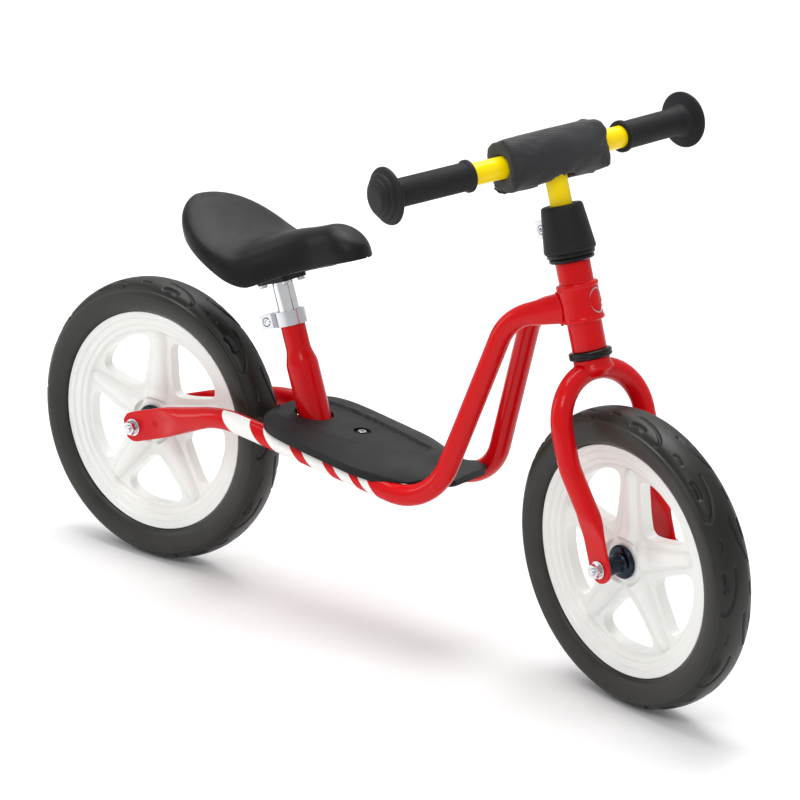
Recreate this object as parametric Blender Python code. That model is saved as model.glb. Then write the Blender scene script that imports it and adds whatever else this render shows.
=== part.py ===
"""A child's two-wheeled balance bike, built as separate pieces in metres.

+X is forward, +Y is the rider's left and +Z is up.  The origin is on the
ground, in the frame's middle plane, halfway between the two axles.
The front assembly rests turned a little to the right.
"""

import math

import bmesh
import bpy
from mathutils import Matrix, Vector

# ---- driving dimensions -------------------------------------------------
GAP = 0.0003                            # clearance between neighbouring pieces
LARGE_ROUND = 22                        # sides of round pieces, by size
MEDIUM_ROUND = 18
SMALL_ROUND = 16
SCREW_ROUND = 12
WHEEL_RADIUS = 0.150
WHEELBASE = 0.597
AXLE_HALF_WIDTH = 0.0412                # middle plane to the inner face of a dropout
DROPOUT_THICKNESS = 0.0040
FORK_OFFSET = 0.0056                    # front axle ahead of the steering axis
HEAD_LEAN = math.radians(17.7)          # steering axis, back from vertical
SEAT_LEAN = math.radians(20.5)          # seat tube, back from vertical
REST_STEER = math.radians(-14.6)        # front assembly turned right at rest

FRAME_TUBE_R = 0.0107
WALL = 0.0018
BAR_R = 0.0110
BAR_SWEEP = math.radians(5.8)           # each half of the handlebar, back from square
BAR_HEIGHT = 0.3937                     # along the steering axis, from axle height
POST_R = 0.0110

HEAD_BOTTOM = 0.2043                    # heights along the steering axis
HEAD_TOP = 0.2910
LUG_BOTTOM = 0.2320
LUG_TOP = 0.2700
HEAD_R = 0.0170
LUG_R = 0.0210
STEERER_R = 0.0140
CLAMP_BOTTOM = 0.3110
CLAMP_TOP = 0.3390
SHROUD_BOTTOM = 0.3005
SHROUD_TOP = 0.3460

SEAT_TUBE_TOP = 0.1030                  # heights along the seat tube
SEAT_CLAMP_BOTTOM = 0.0890
SEAT_CLAMP_TOP = 0.1043
SADDLE_HEIGHT = 0.1345                  # underside of the saddle bracket
SEAT_TUBE_R = 0.0165                    # wide lower part
SEAT_TUBE_NECK_R = 0.0127               # swaged upper part
BUSH_WALL = 0.0016                      # bushes between the head tube and the steerer

BOLT_SHANK_R = 0.0025
BOLT_HOLE_R = 0.0028

RIM_R = 0.1164
RIM_HALF_WIDTH = 0.0164
RIM_BED_R = 0.1130
HUB_HALF_WIDTH = 0.0130
WHEEL_SEGMENTS = 48
SPOKES = 5
AXLE_R = 0.0040

REAR_AXLE = Vector((-WHEELBASE / 2, 0.0, WHEEL_RADIUS))
FRONT_AXLE = Vector((WHEELBASE / 2, 0.0, WHEEL_RADIUS))
AXIS_FOOT = FRONT_AXLE - Vector((FORK_OFFSET, 0.0, 0.0))
SEAT_FOOT = Vector((-0.099, 0.0, 0.206))


def leaning_frame(origin, lean):
    """Local Z leans back from vertical by `lean`, local X is forward, local Y is left."""
    return Matrix.Translation(origin) @ Matrix.Rotation(-lean, 4, "Y")


HEAD = leaning_frame(AXIS_FOOT, HEAD_LEAN)
STEERED = HEAD @ Matrix.Rotation(REST_STEER, 4, "Z")
SEAT = leaning_frame(SEAT_FOOT, SEAT_LEAN)
LATHE_TO_Y = Matrix.Rotation(-math.pi / 2, 4, "X")      # a lathe axis laid along +Y
REAR_WHEEL = Matrix.Translation(REAR_AXLE) @ LATHE_TO_Y
FRONT_WHEEL = STEERED @ HEAD.inverted() @ Matrix.Translation(FRONT_AXLE) @ LATHE_TO_Y

STEER_PIVOT = AXIS_FOOT
SEAT_PIVOT = SEAT_FOOT
FRONT_PIVOT = FRONT_WHEEL.translation
REAR_PIVOT = REAR_AXLE


# ---- materials ------------------------------------------------------------
MATERIALS = {
    "red_paint": ((0.62, 0.006, 0.010), 0.0, 0.22),
    "yellow_paint": ((0.95, 0.62, 0.0), 0.0, 0.25),
    "black_plastic": ((0.025, 0.025, 0.026), 0.0, 0.55),
    "black_rubber": ((0.020, 0.020, 0.020), 0.0, 0.75),
    "black_steel": ((0.020, 0.022, 0.026), 0.6, 0.30),
    "tyre_foam": ((0.028, 0.026, 0.024), 0.0, 0.60),
    "white_plastic": ((0.86, 0.86, 0.84), 0.0, 0.30),
    "chrome": ((0.80, 0.80, 0.82), 1.0, 0.08),
    "zinc": ((0.70, 0.71, 0.73), 1.0, 0.28),
    "saddle_skin": ((0.030, 0.031, 0.032), 0.0, 0.50),
    "pad_fabric": ((0.020, 0.020, 0.021), 0.0, 0.90),
}


def make_material(name, look):
    """A Principled material for one piece."""
    colour, metallic, roughness = MATERIALS[look]
    material = bpy.data.materials.new(name)
    material.use_nodes = True
    shader = material.node_tree.nodes["Principled BSDF"]
    shader.inputs["Base Color"].default_value = (*colour, 1.0)
    shader.inputs["Metallic"].default_value = metallic
    shader.inputs["Roughness"].default_value = roughness
    return material


# ---- mesh helpers -----------------------------------------------------------
def add_object(name, verts, faces, look, matrix=None, pivot=None, smooth=True):
    """Make one named solid whose origin is at `pivot`."""
    matrix = matrix or Matrix.Identity(4)
    pivot = pivot or Vector((0.0, 0.0, 0.0))
    mesh = bpy.data.meshes.new(name)
    mesh.from_pydata([matrix @ Vector(v) - pivot for v in verts], [], faces)
    bm = bmesh.new()
    bm.from_mesh(mesh)
    bmesh.ops.recalc_face_normals(bm, faces=bm.faces)
    if bm.calc_volume(signed=True) < 0:
        bmesh.ops.reverse_faces(bm, faces=bm.faces)
    bm.to_mesh(mesh)
    bm.free()
    for polygon in mesh.polygons:
        polygon.use_smooth = smooth
    mesh.materials.append(make_material(name, look))
    obj = bpy.data.objects.new(name, mesh)
    obj.location = pivot
    bpy.context.scene.collection.objects.link(obj)
    if smooth:
        mesh.set_sharp_from_angle(angle=math.radians(35))
    return obj


def boolean(target, tool, operation):
    """Join or cut `target` with `tool`, which stays hidden."""
    tool.hide_render = True
    tool.display_type = "WIRE"
    modifier = target.modifiers.new(operation.lower() + "_" + tool.name, "BOOLEAN")
    modifier.operation = operation
    modifier.solver = "EXACT"
    modifier.object = tool


def cut(target, tool):
    boolean(target, tool, "DIFFERENCE")


def join(target, tool):
    boolean(target, tool, "UNION")


def lathe(profile, segments):
    """Turn a closed (radius, height) outline about Z; radius 0 points become poles."""
    verts = []
    rings = []
    half = math.pi / segments
    for radius, height in profile:
        if radius == 0.0:
            verts.append((0.0, 0.0, height))
            rings.append([len(verts) - 1] * segments)
            continue
        start = len(verts)
        for k in range(segments):
            angle = 2 * math.pi * k / segments + half
            verts.append((radius * math.cos(angle), radius * math.sin(angle), height))
        rings.append(list(range(start, start + segments)))
    faces = []
    for a, b in zip(rings, rings[1:] + rings[:1]):
        for k in range(segments):
            n = (k + 1) % segments
            corners = []
            for index in (a[k], a[n], b[n], b[k]):
                if index not in corners:
                    corners.append(index)
            if len(corners) > 2:
                faces.append(corners)
    return verts, faces


def tube_profile(outer, inner, low, high):
    """A plain sleeve."""
    return [(inner, low), (outer, low), (outer, high), (inner, high)]


def rod_profile(radius, low, high):
    """A plain solid rod."""
    return [(0.0, low), (radius, low), (radius, high), (0.0, high)]


def prism(outline, low, high):
    """Extrude an (x, y) outline along Z."""
    count = len(outline)
    verts = [(x, y, low) for x, y in outline] + [(x, y, high) for x, y in outline]
    faces = [list(range(count)), list(range(count, 2 * count))]
    for k in range(count):
        n = (k + 1) % count
        faces.append([k, n, count + n, count + k])
    return verts, faces


def box(low, high):
    """A rectangular block between two corners."""
    outline = [(low[0], low[1]), (high[0], low[1]), (high[0], high[1]), (low[0], high[1])]
    return prism(outline, low[2], high[2])


def round_corners(corners, radii, steps):
    """A path of straight runs whose corners are bent to the given radii."""
    corners = [Vector(c) for c in corners]
    count = len(corners)
    path = []
    for k, corner in enumerate(corners):
        if radii[k] == 0.0:
            path.append(corner)
            continue
        back = (corners[k - 1] - corner).normalized()
        ahead = (corners[(k + 1) % count] - corner).normalized()
        half = back.angle(ahead) / 2
        centre = corner + (back + ahead).normalized() * (radii[k] / math.sin(half))
        start = corner + back * (radii[k] / math.tan(half)) - centre
        end = corner + ahead * (radii[k] / math.tan(half)) - centre
        turn = start.angle(end)
        for j in range(steps + 1):
            t = j / steps
            spot = start * math.sin((1 - t) * turn) + end * math.sin(t * turn)
            path.append(centre + spot / math.sin(turn))
    return path


def arc(radius, start, end, steps):
    """Points on a circle about the origin, angles in degrees."""
    angles = [math.radians(start + (end - start) * k / steps) for k in range(steps + 1)]
    return [(radius * math.cos(a), radius * math.sin(a)) for a in angles]


def resample(path, spacing):
    """Add points on long straight runs so that a changing section has places to change."""
    points = [path[0]]
    for a, b in zip(path, path[1:]):
        pieces = max(1, math.ceil((b - a).length / spacing))
        points += [a.lerp(b, k / pieces) for k in range(1, pieces + 1)]
    return points


def ring(centre, tangent, tall, wide, power, count):
    """One rounded section, `tall` in the bend plane and `wide` sideways."""
    side = Vector((0.0, 1.0, 0.0))
    side = (side - tangent * side.dot(tangent)).normalized()
    up = tangent.cross(side)
    points = []
    for k in range(count):
        angle = 2 * math.pi * (k + 0.5) / count
        c, s = math.cos(angle), math.sin(angle)
        u = math.copysign(abs(c) ** (2 / power), c) * tall
        v = math.copysign(abs(s) ** (2 / power), s) * wide
        points.append(centre + up * u + side * v)
    return points


def sweep_rings(path, section, count):
    """Rings along a path; `section` maps the run so far and the run left to a shape."""
    total = sum((b - a).length for a, b in zip(path, path[1:]))
    run = 0.0
    rings = []
    for k, point in enumerate(path):
        before = path[max(k - 1, 0)]
        after = path[min(k + 1, len(path) - 1)]
        if k:
            run += (point - path[k - 1]).length
        rings.append(ring(point, (after - before).normalized(), *section(run, total - run), count))
    return rings


def skin(rings, caps):
    """Faces over a stack of equal rings, with the asked ends closed."""
    count = len(rings[0])
    verts = [v for r in rings for v in r]
    faces = []
    for level in range(len(rings) - 1):
        a, b = level * count, (level + 1) * count
        for k in range(count):
            n = (k + 1) % count
            faces.append([a + k, a + n, b + n, b + k])
    if caps[0]:
        faces.append(list(range(count)))
    if caps[1]:
        faces.append(list(range(len(verts) - count, len(verts))))
    return verts, faces


def smooth_step(x):
    x = min(max(x, 0.0), 1.0)
    return x * x * (3 - 2 * x)


def mix(a, b, t):
    return a + (b - a) * t


# ---- frame --------------------------------------------------------------------
DROPOUT_END = 0.011                     # plate behind the axle
DROPOUT_RUN = 0.040                     # length of the flat plate
FLATTEN_RUN = 0.085                     # plate end to full round tube
OVAL_RUN = 0.060                        # squeezed end at the head tube
PLATE_SLOPE = math.radians(19.5)        # rise of the plate and the tube behind the bend
PLATE_HALF_HEIGHT = 0.0158
OVAL_HALF_HEIGHT = 0.0150
OVAL_HALF_WIDTH = 0.0080
PLATE_SQUARENESS = 7.0                  # superellipse power of the flat plates
SECTION_POINTS = 12


def side_tube_path(side):
    """Centre line of one bent frame tube, from the rear dropout to the head tube."""
    plate_y = AXLE_HALF_WIDTH + DROPOUT_THICKNESS / 2
    slope = math.tan(PLATE_SLOPE)
    rear_x = REAR_AXLE.x - DROPOUT_END
    corners = [
        (rear_x, plate_y, WHEEL_RADIUS - DROPOUT_END * slope),
        (REAR_AXLE.x + 0.045, plate_y, WHEEL_RADIUS + 0.045 * slope),
        (-0.178, 0.0505, 0.192),
        (0.0900, 0.0500, 0.1590),
        (0.1485, 0.0210, 0.3625),
        (0.212, 0.0087, 0.3846),
    ]
    radii = [0.0, 0.150, 0.120, 0.058, 0.046, 0.0]
    path = round_corners(corners, radii, 5)
    return [Vector((p.x, p.y * side, p.z)) for p in resample(path, 0.045)]


def side_tube_section(run, left):
    """A flat dropout plate that opens into a round tube, oval at the head tube."""
    opened = smooth_step((run - DROPOUT_RUN) / (FLATTEN_RUN - DROPOUT_RUN))
    squeezed = smooth_step(1 - left / OVAL_RUN)
    narrowed = smooth_step((run - DROPOUT_RUN) / 0.095)
    tall = mix(mix(PLATE_HALF_HEIGHT, FRAME_TUBE_R, narrowed), OVAL_HALF_HEIGHT, squeezed)
    wide = mix(mix(DROPOUT_THICKNESS / 2, FRAME_TUBE_R, opened), OVAL_HALF_WIDTH, squeezed)
    return tall, wide, mix(PLATE_SQUARENESS, 2.0, opened)


def bore_section(run, left):
    """The hollow inside a side tube."""
    tall, wide, power = side_tube_section(run + FLATTEN_RUN, left)
    return tall - WALL, wide - WALL, power


def grown_section(run, left):
    """A side tube with clearance all round, used to cut its neighbours."""
    tall, wide, power = side_tube_section(run, left)
    return tall + GAP, wide + GAP, power


def side_tube(name, side):
    path = side_tube_path(side)
    outer = sweep_rings(path, side_tube_section, SECTION_POINTS)
    run = 0.0
    inner_path = []
    for k, point in enumerate(path):
        if k:
            run += (point - path[k - 1]).length
        if run > FLATTEN_RUN:
            inner_path.append(point)
    inner = sweep_rings(inner_path, bore_section, SECTION_POINTS)
    verts, faces = skin(outer + inner[::-1], (True, True))
    tube = add_object(name, verts, faces, "red_paint")
    flip = Matrix.Rotation(math.pi * (1 - side) / 2, 4, "X")
    hole = add_object("cutter_axle_" + name, *lathe(
        rod_profile(AXLE_R + GAP, 0.030, 0.060), SMALL_ROUND), "red_paint", REAR_WHEEL @ flip)
    cut(tube, hole)
    lug = add_object("cutter_lug_" + name, *lathe(
        rod_profile(LUG_R + GAP, LUG_BOTTOM - 0.02, LUG_TOP + 0.02), LARGE_ROUND), "red_paint", HEAD)
    cut(tube, lug)


def head_tube():
    """Steering head with a thicker sleeve where the frame tubes meet it."""
    inner = STEERER_R + BUSH_WALL
    chamfer = 0.0012
    profile = [
        (inner, HEAD_BOTTOM), (HEAD_R, HEAD_BOTTOM),
        (HEAD_R, LUG_BOTTOM), (LUG_R - chamfer, LUG_BOTTOM), (LUG_R, LUG_BOTTOM + chamfer),
        (LUG_R, LUG_TOP - chamfer), (LUG_R - chamfer, LUG_TOP), (HEAD_R, LUG_TOP),
        (HEAD_R, HEAD_TOP), (inner, HEAD_TOP),
    ]
    add_object("head_tube", *lathe(profile, LARGE_ROUND), "red_paint", HEAD)


def seat_tube():
    """Seat tube, swaged down to a thinner top that holds the post."""
    thin = SEAT_TUBE_NECK_R
    thick = SEAT_TUBE_R
    bore = POST_R + GAP
    profile = [
        (thick - WALL, -0.032), (thick, -0.032), (thick, 0.046), (thin, 0.066),
        (thin, SEAT_TUBE_TOP), (bore, SEAT_TUBE_TOP), (bore, 0.060), (thick - WALL, 0.040),
    ]
    add_object("seat_tube", *lathe(profile, MEDIUM_ROUND), "red_paint", SEAT)


def tube_run_height(x):
    """Centre height of the straight lower run of the frame tubes."""
    start = Vector((-0.178, 0.192))
    end = Vector((0.091, 0.1565))
    return mix(start.y, end.y, (x - start.x) / (end.x - start.x))


def bridge(name, x_low, x_high, hole_matrix, hole_radius):
    """A steel plate welded between the two frame tubes."""
    half = 0.0500 - FRAME_TUBE_R - 0.0009
    thick = 0.0030
    verts = []
    for x in (x_low, x_high):
        z = tube_run_height(x)
        verts += [(x, -half, z - thick), (x, half, z - thick), (x, half, z), (x, -half, z)]
    faces = [[0, 1, 2, 3], [4, 5, 6, 7]]
    faces += [[k, (k + 1) % 4, 4 + (k + 1) % 4, 4 + k] for k in range(4)]
    plate = add_object(name, verts, faces, "red_paint", smooth=False)
    hole = add_object("cutter_" + name, *lathe(
        rod_profile(hole_radius, -0.06, 0.06), MEDIUM_ROUND), "red_paint", hole_matrix)
    cut(plate, hole)


# ---- footboard ------------------------------------------------------------------
BOARD_REAR = -0.132
BOARD_FRONT = 0.100
TONGUE_BOTTOM = 0.1790
BOARD_SCREW_X = -0.036
BOARD_THICKNESS = 0.0045
SKIRT = 0.0085                          # turned-down rim
BOARD_SCREW_SEAT = 0.1953               # height the screw head sits at
BOARD_SCREW_HOLE_R = 0.0032


def board_half_width(x):
    """Leaf-shaped plan: blunt at the rear, drawn in to a tongue between the tubes."""
    rear = 0.066 * (1 - max(0.0, (-0.045 - x) / 0.0875) ** 4.5) ** 0.30
    waist = mix(0.066, 0.0385, smooth_step((x + 0.010) / 0.105))
    nose = max(0.0, (x - 0.094) / (BOARD_FRONT - 0.094))
    return max(0.012, min(rear, waist) * math.sqrt(max(0.0, 1 - 0.6 * nose * nose)))


def board_edge_height(x):
    """Height of the rim of the footboard."""
    flat = 0.1855 - 0.145 * x
    return mix(flat, 0.1850, smooth_step((x - 0.050) / 0.030))


def board_top(x, t):
    """Height of the top: a crowned leaf with a long sunken channel in its middle."""
    ridge = 0.1985 - 0.070 * x
    ridge = mix(ridge, 0.1870, smooth_step((x - 0.050) / 0.030))
    crown = 1 - abs(t) ** 2.6
    height = mix(board_edge_height(x), ridge, crown)
    along = smooth_step((x + 0.120) / 0.03) * smooth_step((0.050 - x) / 0.006)
    half_channel = mix(0.62, 0.30, smooth_step((x + 0.09) / 0.14))
    across = smooth_step((half_channel - abs(t)) / 0.05)
    return height - 0.0022 * along * across


def board_bottom(x, t):
    """Height of the underside: a thin shell with a turned-down rim and a deep tongue."""
    shell = board_top(x, t) - BOARD_THICKNESS - 0.0012
    skirt = board_edge_height(x) - SKIRT
    rim = smooth_step((abs(t) - 0.93) / 0.03)
    height = mix(shell, skirt, rim)
    return mix(height, TONGUE_BOTTOM, smooth_step((x - 0.066) / 0.012))


def footboard():
    """Plastic footrest that lies over the two frame tubes."""
    stations = 13
    across = [-1.0, -0.955, -0.93, -0.80, -0.64, -0.57, -0.36, -0.29, -0.10]
    across = across + [-t for t in reversed(across)]
    rings = []
    for k in range(stations + 1):
        x = mix(BOARD_REAR, BOARD_FRONT, k / stations)
        half = board_half_width(x)
        top = [Vector((x, t * half, board_top(x, t))) for t in across]
        low = [Vector((x, t * half, board_bottom(x, t))) for t in reversed(across)]
        rings.append(top + low)
    board = add_object("footboard", *skin(rings, (True, True)), "black_plastic")
    for side, label in ((-1, "right"), (1, "left")):
        path = side_tube_path(side)
        grown = skin(sweep_rings(path, grown_section, SECTION_POINTS), (True, True))
        cut(board, add_object("cutter_board_" + label, *grown, "red_paint"))
    seat_hole = lathe(rod_profile(0.0190, -0.05, 0.05), MEDIUM_ROUND)
    cut(board, add_object("cutter_board_seat", *seat_hole, "red_paint", SEAT))
    cut(board, add_object("cutter_board_screw", *lathe(
        rod_profile(0.0080, 0.195, 0.230), SCREW_ROUND), "red_paint", board_screw_frame()))
    cut(board, add_object("cutter_board_shank", *lathe(
        rod_profile(BOARD_SCREW_HOLE_R, 0.10, 0.230), SCREW_ROUND), "red_paint", board_screw_frame()))


def board_screw_frame():
    return Matrix.Translation((BOARD_SCREW_X, 0.0, 0.0))


def hex_outline(across_flats):
    corner = across_flats / math.sqrt(3)
    return [(corner * math.cos(math.radians(60 * k)), corner * math.sin(math.radians(60 * k)))
            for k in range(6)]


def socket_screw(name, head_r, head_h, shank_r, length, look, matrix, pivot=None):
    """A cap screw along -Z from a head that sits on Z = 0, with a hexagon socket."""
    edge = head_h * 0.15
    profile = [
        (0.0, -length), (shank_r, -length), (shank_r, 0.0), (head_r, 0.0),
        (head_r, head_h - edge), (head_r - edge, head_h), (0.0, head_h),
    ]
    screw = add_object(name, *lathe(profile, SCREW_ROUND), look, matrix, pivot)
    socket = prism(hex_outline(head_r), head_h * 0.35, head_h * 2)
    cut(screw, add_object("cutter_" + name, *socket, look, matrix, pivot, smooth=False))


def hex_nut(name, across_flats, low, high, bore, look, matrix, pivot=None):
    """A hexagon nut along Z."""
    nut = add_object(name, *prism(hex_outline(across_flats), low, high), look, matrix, pivot,
                     smooth=False)
    hole = lathe(rod_profile(bore, low - 0.01, high + 0.01), SCREW_ROUND)
    cut(nut, add_object("cutter_" + name, *hole, look, matrix, pivot))


# ---- clamps ---------------------------------------------------------------------
def split_clamp(name, inner, outer, ear_end, ear_half, bolt_x, low, high, look, matrix, pivot):
    """A split collar with two ears behind it and a cross hole through them."""
    slot = 0.0015
    meet = math.degrees(math.asin(ear_half / outer))
    part = math.degrees(math.asin(slot / inner))
    outline = [(-ear_end, -slot), (-ear_end, -ear_half)]
    outline += arc(outer, 180 + meet, 540 - meet, MEDIUM_ROUND)
    outline += [(-ear_end, ear_half), (-ear_end, slot)]
    outline += arc(inner, 180 - part, -180 + part, MEDIUM_ROUND)
    clamp = add_object(name, *prism(outline, low, high), look, matrix, pivot)
    middle = (low + high) / 2
    across = matrix @ Matrix.Translation((-bolt_x, 0.0, middle)) @ LATHE_TO_Y
    hole = lathe(rod_profile(BOLT_HOLE_R, -0.03, 0.03), SCREW_ROUND)
    cut(clamp, add_object("cutter_" + name, *hole, look, across, pivot))
    flip = Matrix.Rotation(math.pi, 4, "X")
    head_seat = across @ flip @ Matrix.Translation((0.0, 0.0, ear_half + GAP))
    socket_screw(name + "_bolt", 0.0046, 0.0048, BOLT_SHANK_R, 2 * ear_half + 0.0055, "zinc",
                 head_seat, pivot)
    hex_nut(name + "_nut", 0.0080, ear_half + GAP, ear_half + 0.0045, BOLT_HOLE_R, "zinc",
            across, pivot)


# ---- seat -------------------------------------------------------------------------
def seat_post():
    profile = tube_profile(POST_R, POST_R - 0.0016, -0.015, SADDLE_HEIGHT - GAP)
    add_object("seat_post", *lathe(profile, MEDIUM_ROUND), "chrome", SEAT, SEAT_PIVOT)


BRACKET_THICKNESS = 0.0060
SCREW_X = 0.0150
SCREW_Y = 0.0125


def screw_places():
    return [(x, y) for x in (-SCREW_X, SCREW_X) for y in (-SCREW_Y, SCREW_Y)]


def saddle_bracket():
    """Steel plate on the head of the post that carries the saddle."""
    corners = [(-0.020, -0.018, 0), (0.020, -0.018, 0), (0.020, 0.018, 0), (-0.020, 0.018, 0)]
    outline = [(p.x, p.y) for p in round_corners(corners, [0.004] * 4, 4)]
    low = SADDLE_HEIGHT
    plate = add_object("saddle_bracket", *prism(outline, low, low + BRACKET_THICKNESS),
                       "black_steel", SEAT, SEAT_PIVOT)
    for k, (x, y) in enumerate(screw_places()):
        place = SEAT @ Matrix.Translation((x, y, 0.0))
        hole = lathe(rod_profile(BOLT_HOLE_R, low - 0.01, low + 0.02), SCREW_ROUND)
        cut(plate, add_object("cutter_bracket_%d" % k, *hole, "zinc", place, SEAT_PIVOT))


def saddle_screws():
    """Four screws that go up through the bracket into the saddle base."""
    for k, (x, y) in enumerate(screw_places()):
        down = Matrix.Rotation(math.pi, 4, "X")
        seat = SEAT @ Matrix.Translation((x, y, SADDLE_HEIGHT - GAP)) @ down
        socket_screw("saddle_screw_%d" % (k + 1), 0.0042, 0.0030, BOLT_SHANK_R, 0.0095, "zinc",
                     seat, SEAT_PIVOT)


SADDLE_NOSE = 0.1205
SADDLE_TAIL = -0.0880
SADDLE_UNDERSIDE = 0.0065               # above the bracket's underside
BASE_DEPTH = 0.0060                     # how far the stiff base reaches into the foam


def saddle_half_width(u):
    """Plan of the saddle: a broad round tail and a narrow nose."""
    wide = mix(0.0665, 0.0235, smooth_step((u + 0.020) / 0.090))
    nose = max(0.0, (u - 0.090) / (SADDLE_NOSE - 0.090))
    tail = max(0.0, (-0.045 - u) / (-0.045 - SADDLE_TAIL))
    return wide * math.sqrt(max(0.0, 1 - nose ** 2.6)) * math.sqrt(max(0.0, 1 - tail ** 2.1))


def saddle_top(u):
    """Height of the sitting line: a raised tail, a dip and a rounded nose."""
    tail = 0.056 * smooth_step((-0.002 - u) / 0.085)
    nose = 0.026 * max(0.0, (u - 0.080) / (SADDLE_NOSE - 0.080)) ** 2.2
    return 0.0485 + tail - nose


def saddle_low(u):
    """Height of the lower edge, which lifts at the tail."""
    back = max(0.0, 0.004 - u)
    return SADDLE_UNDERSIDE + 0.86 * back * back / (back + 0.010)


def saddle_rings(shrink, rows, count):
    """Sections across the saddle, drawn in by `shrink` all round."""
    rings = []
    for k in range(rows + 1):
        s = 0.5 - 0.5 * math.cos(math.pi * (0.03 + 0.94 * k / rows))
        u = mix(SADDLE_TAIL + shrink, SADDLE_NOSE - shrink, s)
        half = max(saddle_half_width(u) - shrink, 0.004)
        low = saddle_low(u)
        top = saddle_top(u) - shrink
        points = []
        for j in range(count):
            angle = 2 * math.pi * (j + 0.5) / count
            c, s = math.cos(angle), math.sin(angle)
            round_y, round_z = (0.80, 0.70) if s > 0 else (0.50, 0.60)
            waist = mix(low, top, 0.22)
            reach = (top - waist) if s > 0 else (waist - low)
            y = math.copysign(abs(c) ** round_y, c) * half
            z = waist + math.copysign(abs(s) ** round_z, s) * reach
            points.append(Vector((u, y, SADDLE_HEIGHT + z)))
        rings.append(points)
    return rings


def saddle():
    """Foam saddle, hollowed underneath for its base."""
    verts, faces = skin(saddle_rings(0.0, 16, 24), (True, True))
    cushion = add_object("saddle_cushion", verts, faces, "saddle_skin", SEAT, SEAT_PIVOT)
    outline = base_outline(GAP)
    top = SADDLE_HEIGHT + SADDLE_UNDERSIDE + BASE_DEPTH
    tool = prism(outline, SADDLE_HEIGHT - 0.02, top + GAP)
    cut(cushion, add_object("cutter_saddle", *tool, "saddle_skin", SEAT, SEAT_PIVOT))


def base_outline(grow):
    """Outline of the stiff base under the foam."""
    rear, front = -0.008, 0.085
    right = []
    steps = 14
    for k in range(steps + 1):
        u = mix(rear, front, k / steps)
        right.append((u, -(saddle_half_width(u) * 0.72 + grow)))
    right[0] = (rear - grow, right[0][1])
    right[-1] = (front + grow, right[-1][1])
    return right + [(u, -y) for u, y in reversed(right)]


def saddle_base():
    """Plastic base plate that the saddle screws bite into."""
    low = SADDLE_HEIGHT + BRACKET_THICKNESS + GAP
    high = SADDLE_HEIGHT + SADDLE_UNDERSIDE + BASE_DEPTH
    plate = add_object("saddle_base", *prism(base_outline(0.0), low, high), "black_plastic",
                       SEAT, SEAT_PIVOT)
    for k, (x, y) in enumerate(screw_places()):
        place = SEAT @ Matrix.Translation((x, y, 0.0))
        hole = lathe(rod_profile(BOLT_HOLE_R, low - 0.005, SADDLE_HEIGHT + 0.0097), SCREW_ROUND)
        cut(plate, add_object("cutter_base_%d" % k, *hole, "zinc", place, SEAT_PIVOT))


# ---- steering ------------------------------------------------------------------------
def headset():
    """Plastic bearing covers and bushes at the two ends of the head tube."""
    lower = [
        (STEERER_R + GAP, 0.1963), (0.0200, 0.1963), (0.0212, 0.1975), (0.0212, 0.2028),
        (0.0200, 0.2040), (STEERER_R + GAP, 0.2040),
    ]
    add_object("lower_bearing_cover", *lathe(lower, LARGE_ROUND), "black_plastic", HEAD)
    upper = [
        (STEERER_R + GAP, HEAD_TOP + GAP), (0.0205, HEAD_TOP + GAP), (0.0222, 0.2925),
        (0.0222, 0.2952), (STEERER_R + GAP, 0.2952),
    ]
    add_object("upper_bearing_cover", *lathe(upper, LARGE_ROUND), "black_plastic", HEAD)
    bush_r = STEERER_R + BUSH_WALL - GAP
    for name, low, high in (("lower_bearing_bush", HEAD_BOTTOM + GAP, 0.2180),
                            ("upper_bearing_bush", 0.2770, HEAD_TOP - GAP)):
        profile = tube_profile(bush_r, STEERER_R + GAP, low, high)
        add_object(name, *lathe(profile, MEDIUM_ROUND), "black_plastic", HEAD)
    lock = [
        (STEERER_R + GAP, 0.2955), (0.0212, 0.2955), (0.0236, 0.2967), (0.0236, 0.3002),
        (STEERER_R + GAP, 0.3002),
    ]
    add_object("headset_lock_ring", *lathe(lock, LARGE_ROUND), "black_steel", STEERED, STEER_PIVOT)


FORK_TOP = 0.1850                       # arch centre line, along the steering axis
FORK_HALF = 0.0520                      # half spread of the legs at the shoulders
LEG_FLAT = 0.0400                       # flattened blade at the foot of each leg
FORK_FOOT = 0.0140                      # blade below the axle, and its half width
SHOULDER_LOW = 0.1000                   # where the legs become straight
BLADE_TOP = 0.0480


def fork_path():
    """Centre line of the one bent tube that makes both fork legs."""
    foot = (FORK_OFFSET * math.cos(HEAD_LEAN), AXLE_HALF_WIDTH + DROPOUT_THICKNESS / 2,
            -FORK_OFFSET * math.sin(HEAD_LEAN))
    corners = [
        (foot[0], -foot[1], foot[2] - FORK_FOOT),
        (foot[0], -foot[1], BLADE_TOP),
        (0.0, -FORK_HALF, SHOULDER_LOW),
        (0.0, -FORK_HALF, FORK_TOP),
        (0.0, FORK_HALF, FORK_TOP),
        (0.0, FORK_HALF, SHOULDER_LOW),
        (foot[0], foot[1], BLADE_TOP),
        (foot[0], foot[1], foot[2] - FORK_FOOT),
    ]
    radii = [0.0, 0.120, 0.100, 0.0510, 0.0510, 0.100, 0.120, 0.0]
    return resample(round_corners(corners, radii, 6), 0.018)


def fork_section(run, left):
    """Round tube flattened to a blade at both ends."""
    end = min(run, left)
    opened = smooth_step((end - LEG_FLAT) / 0.035)
    tip = math.sqrt(max(0.05, 1 - max(0.0, 1 - end / 0.0120) ** 2))
    tall = mix(FORK_FOOT * tip, FRAME_TUBE_R, opened)
    wide = mix(DROPOUT_THICKNESS / 2, FRAME_TUBE_R, opened)
    return tall, wide, mix(PLATE_SQUARENESS, 2.0, opened)


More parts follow.
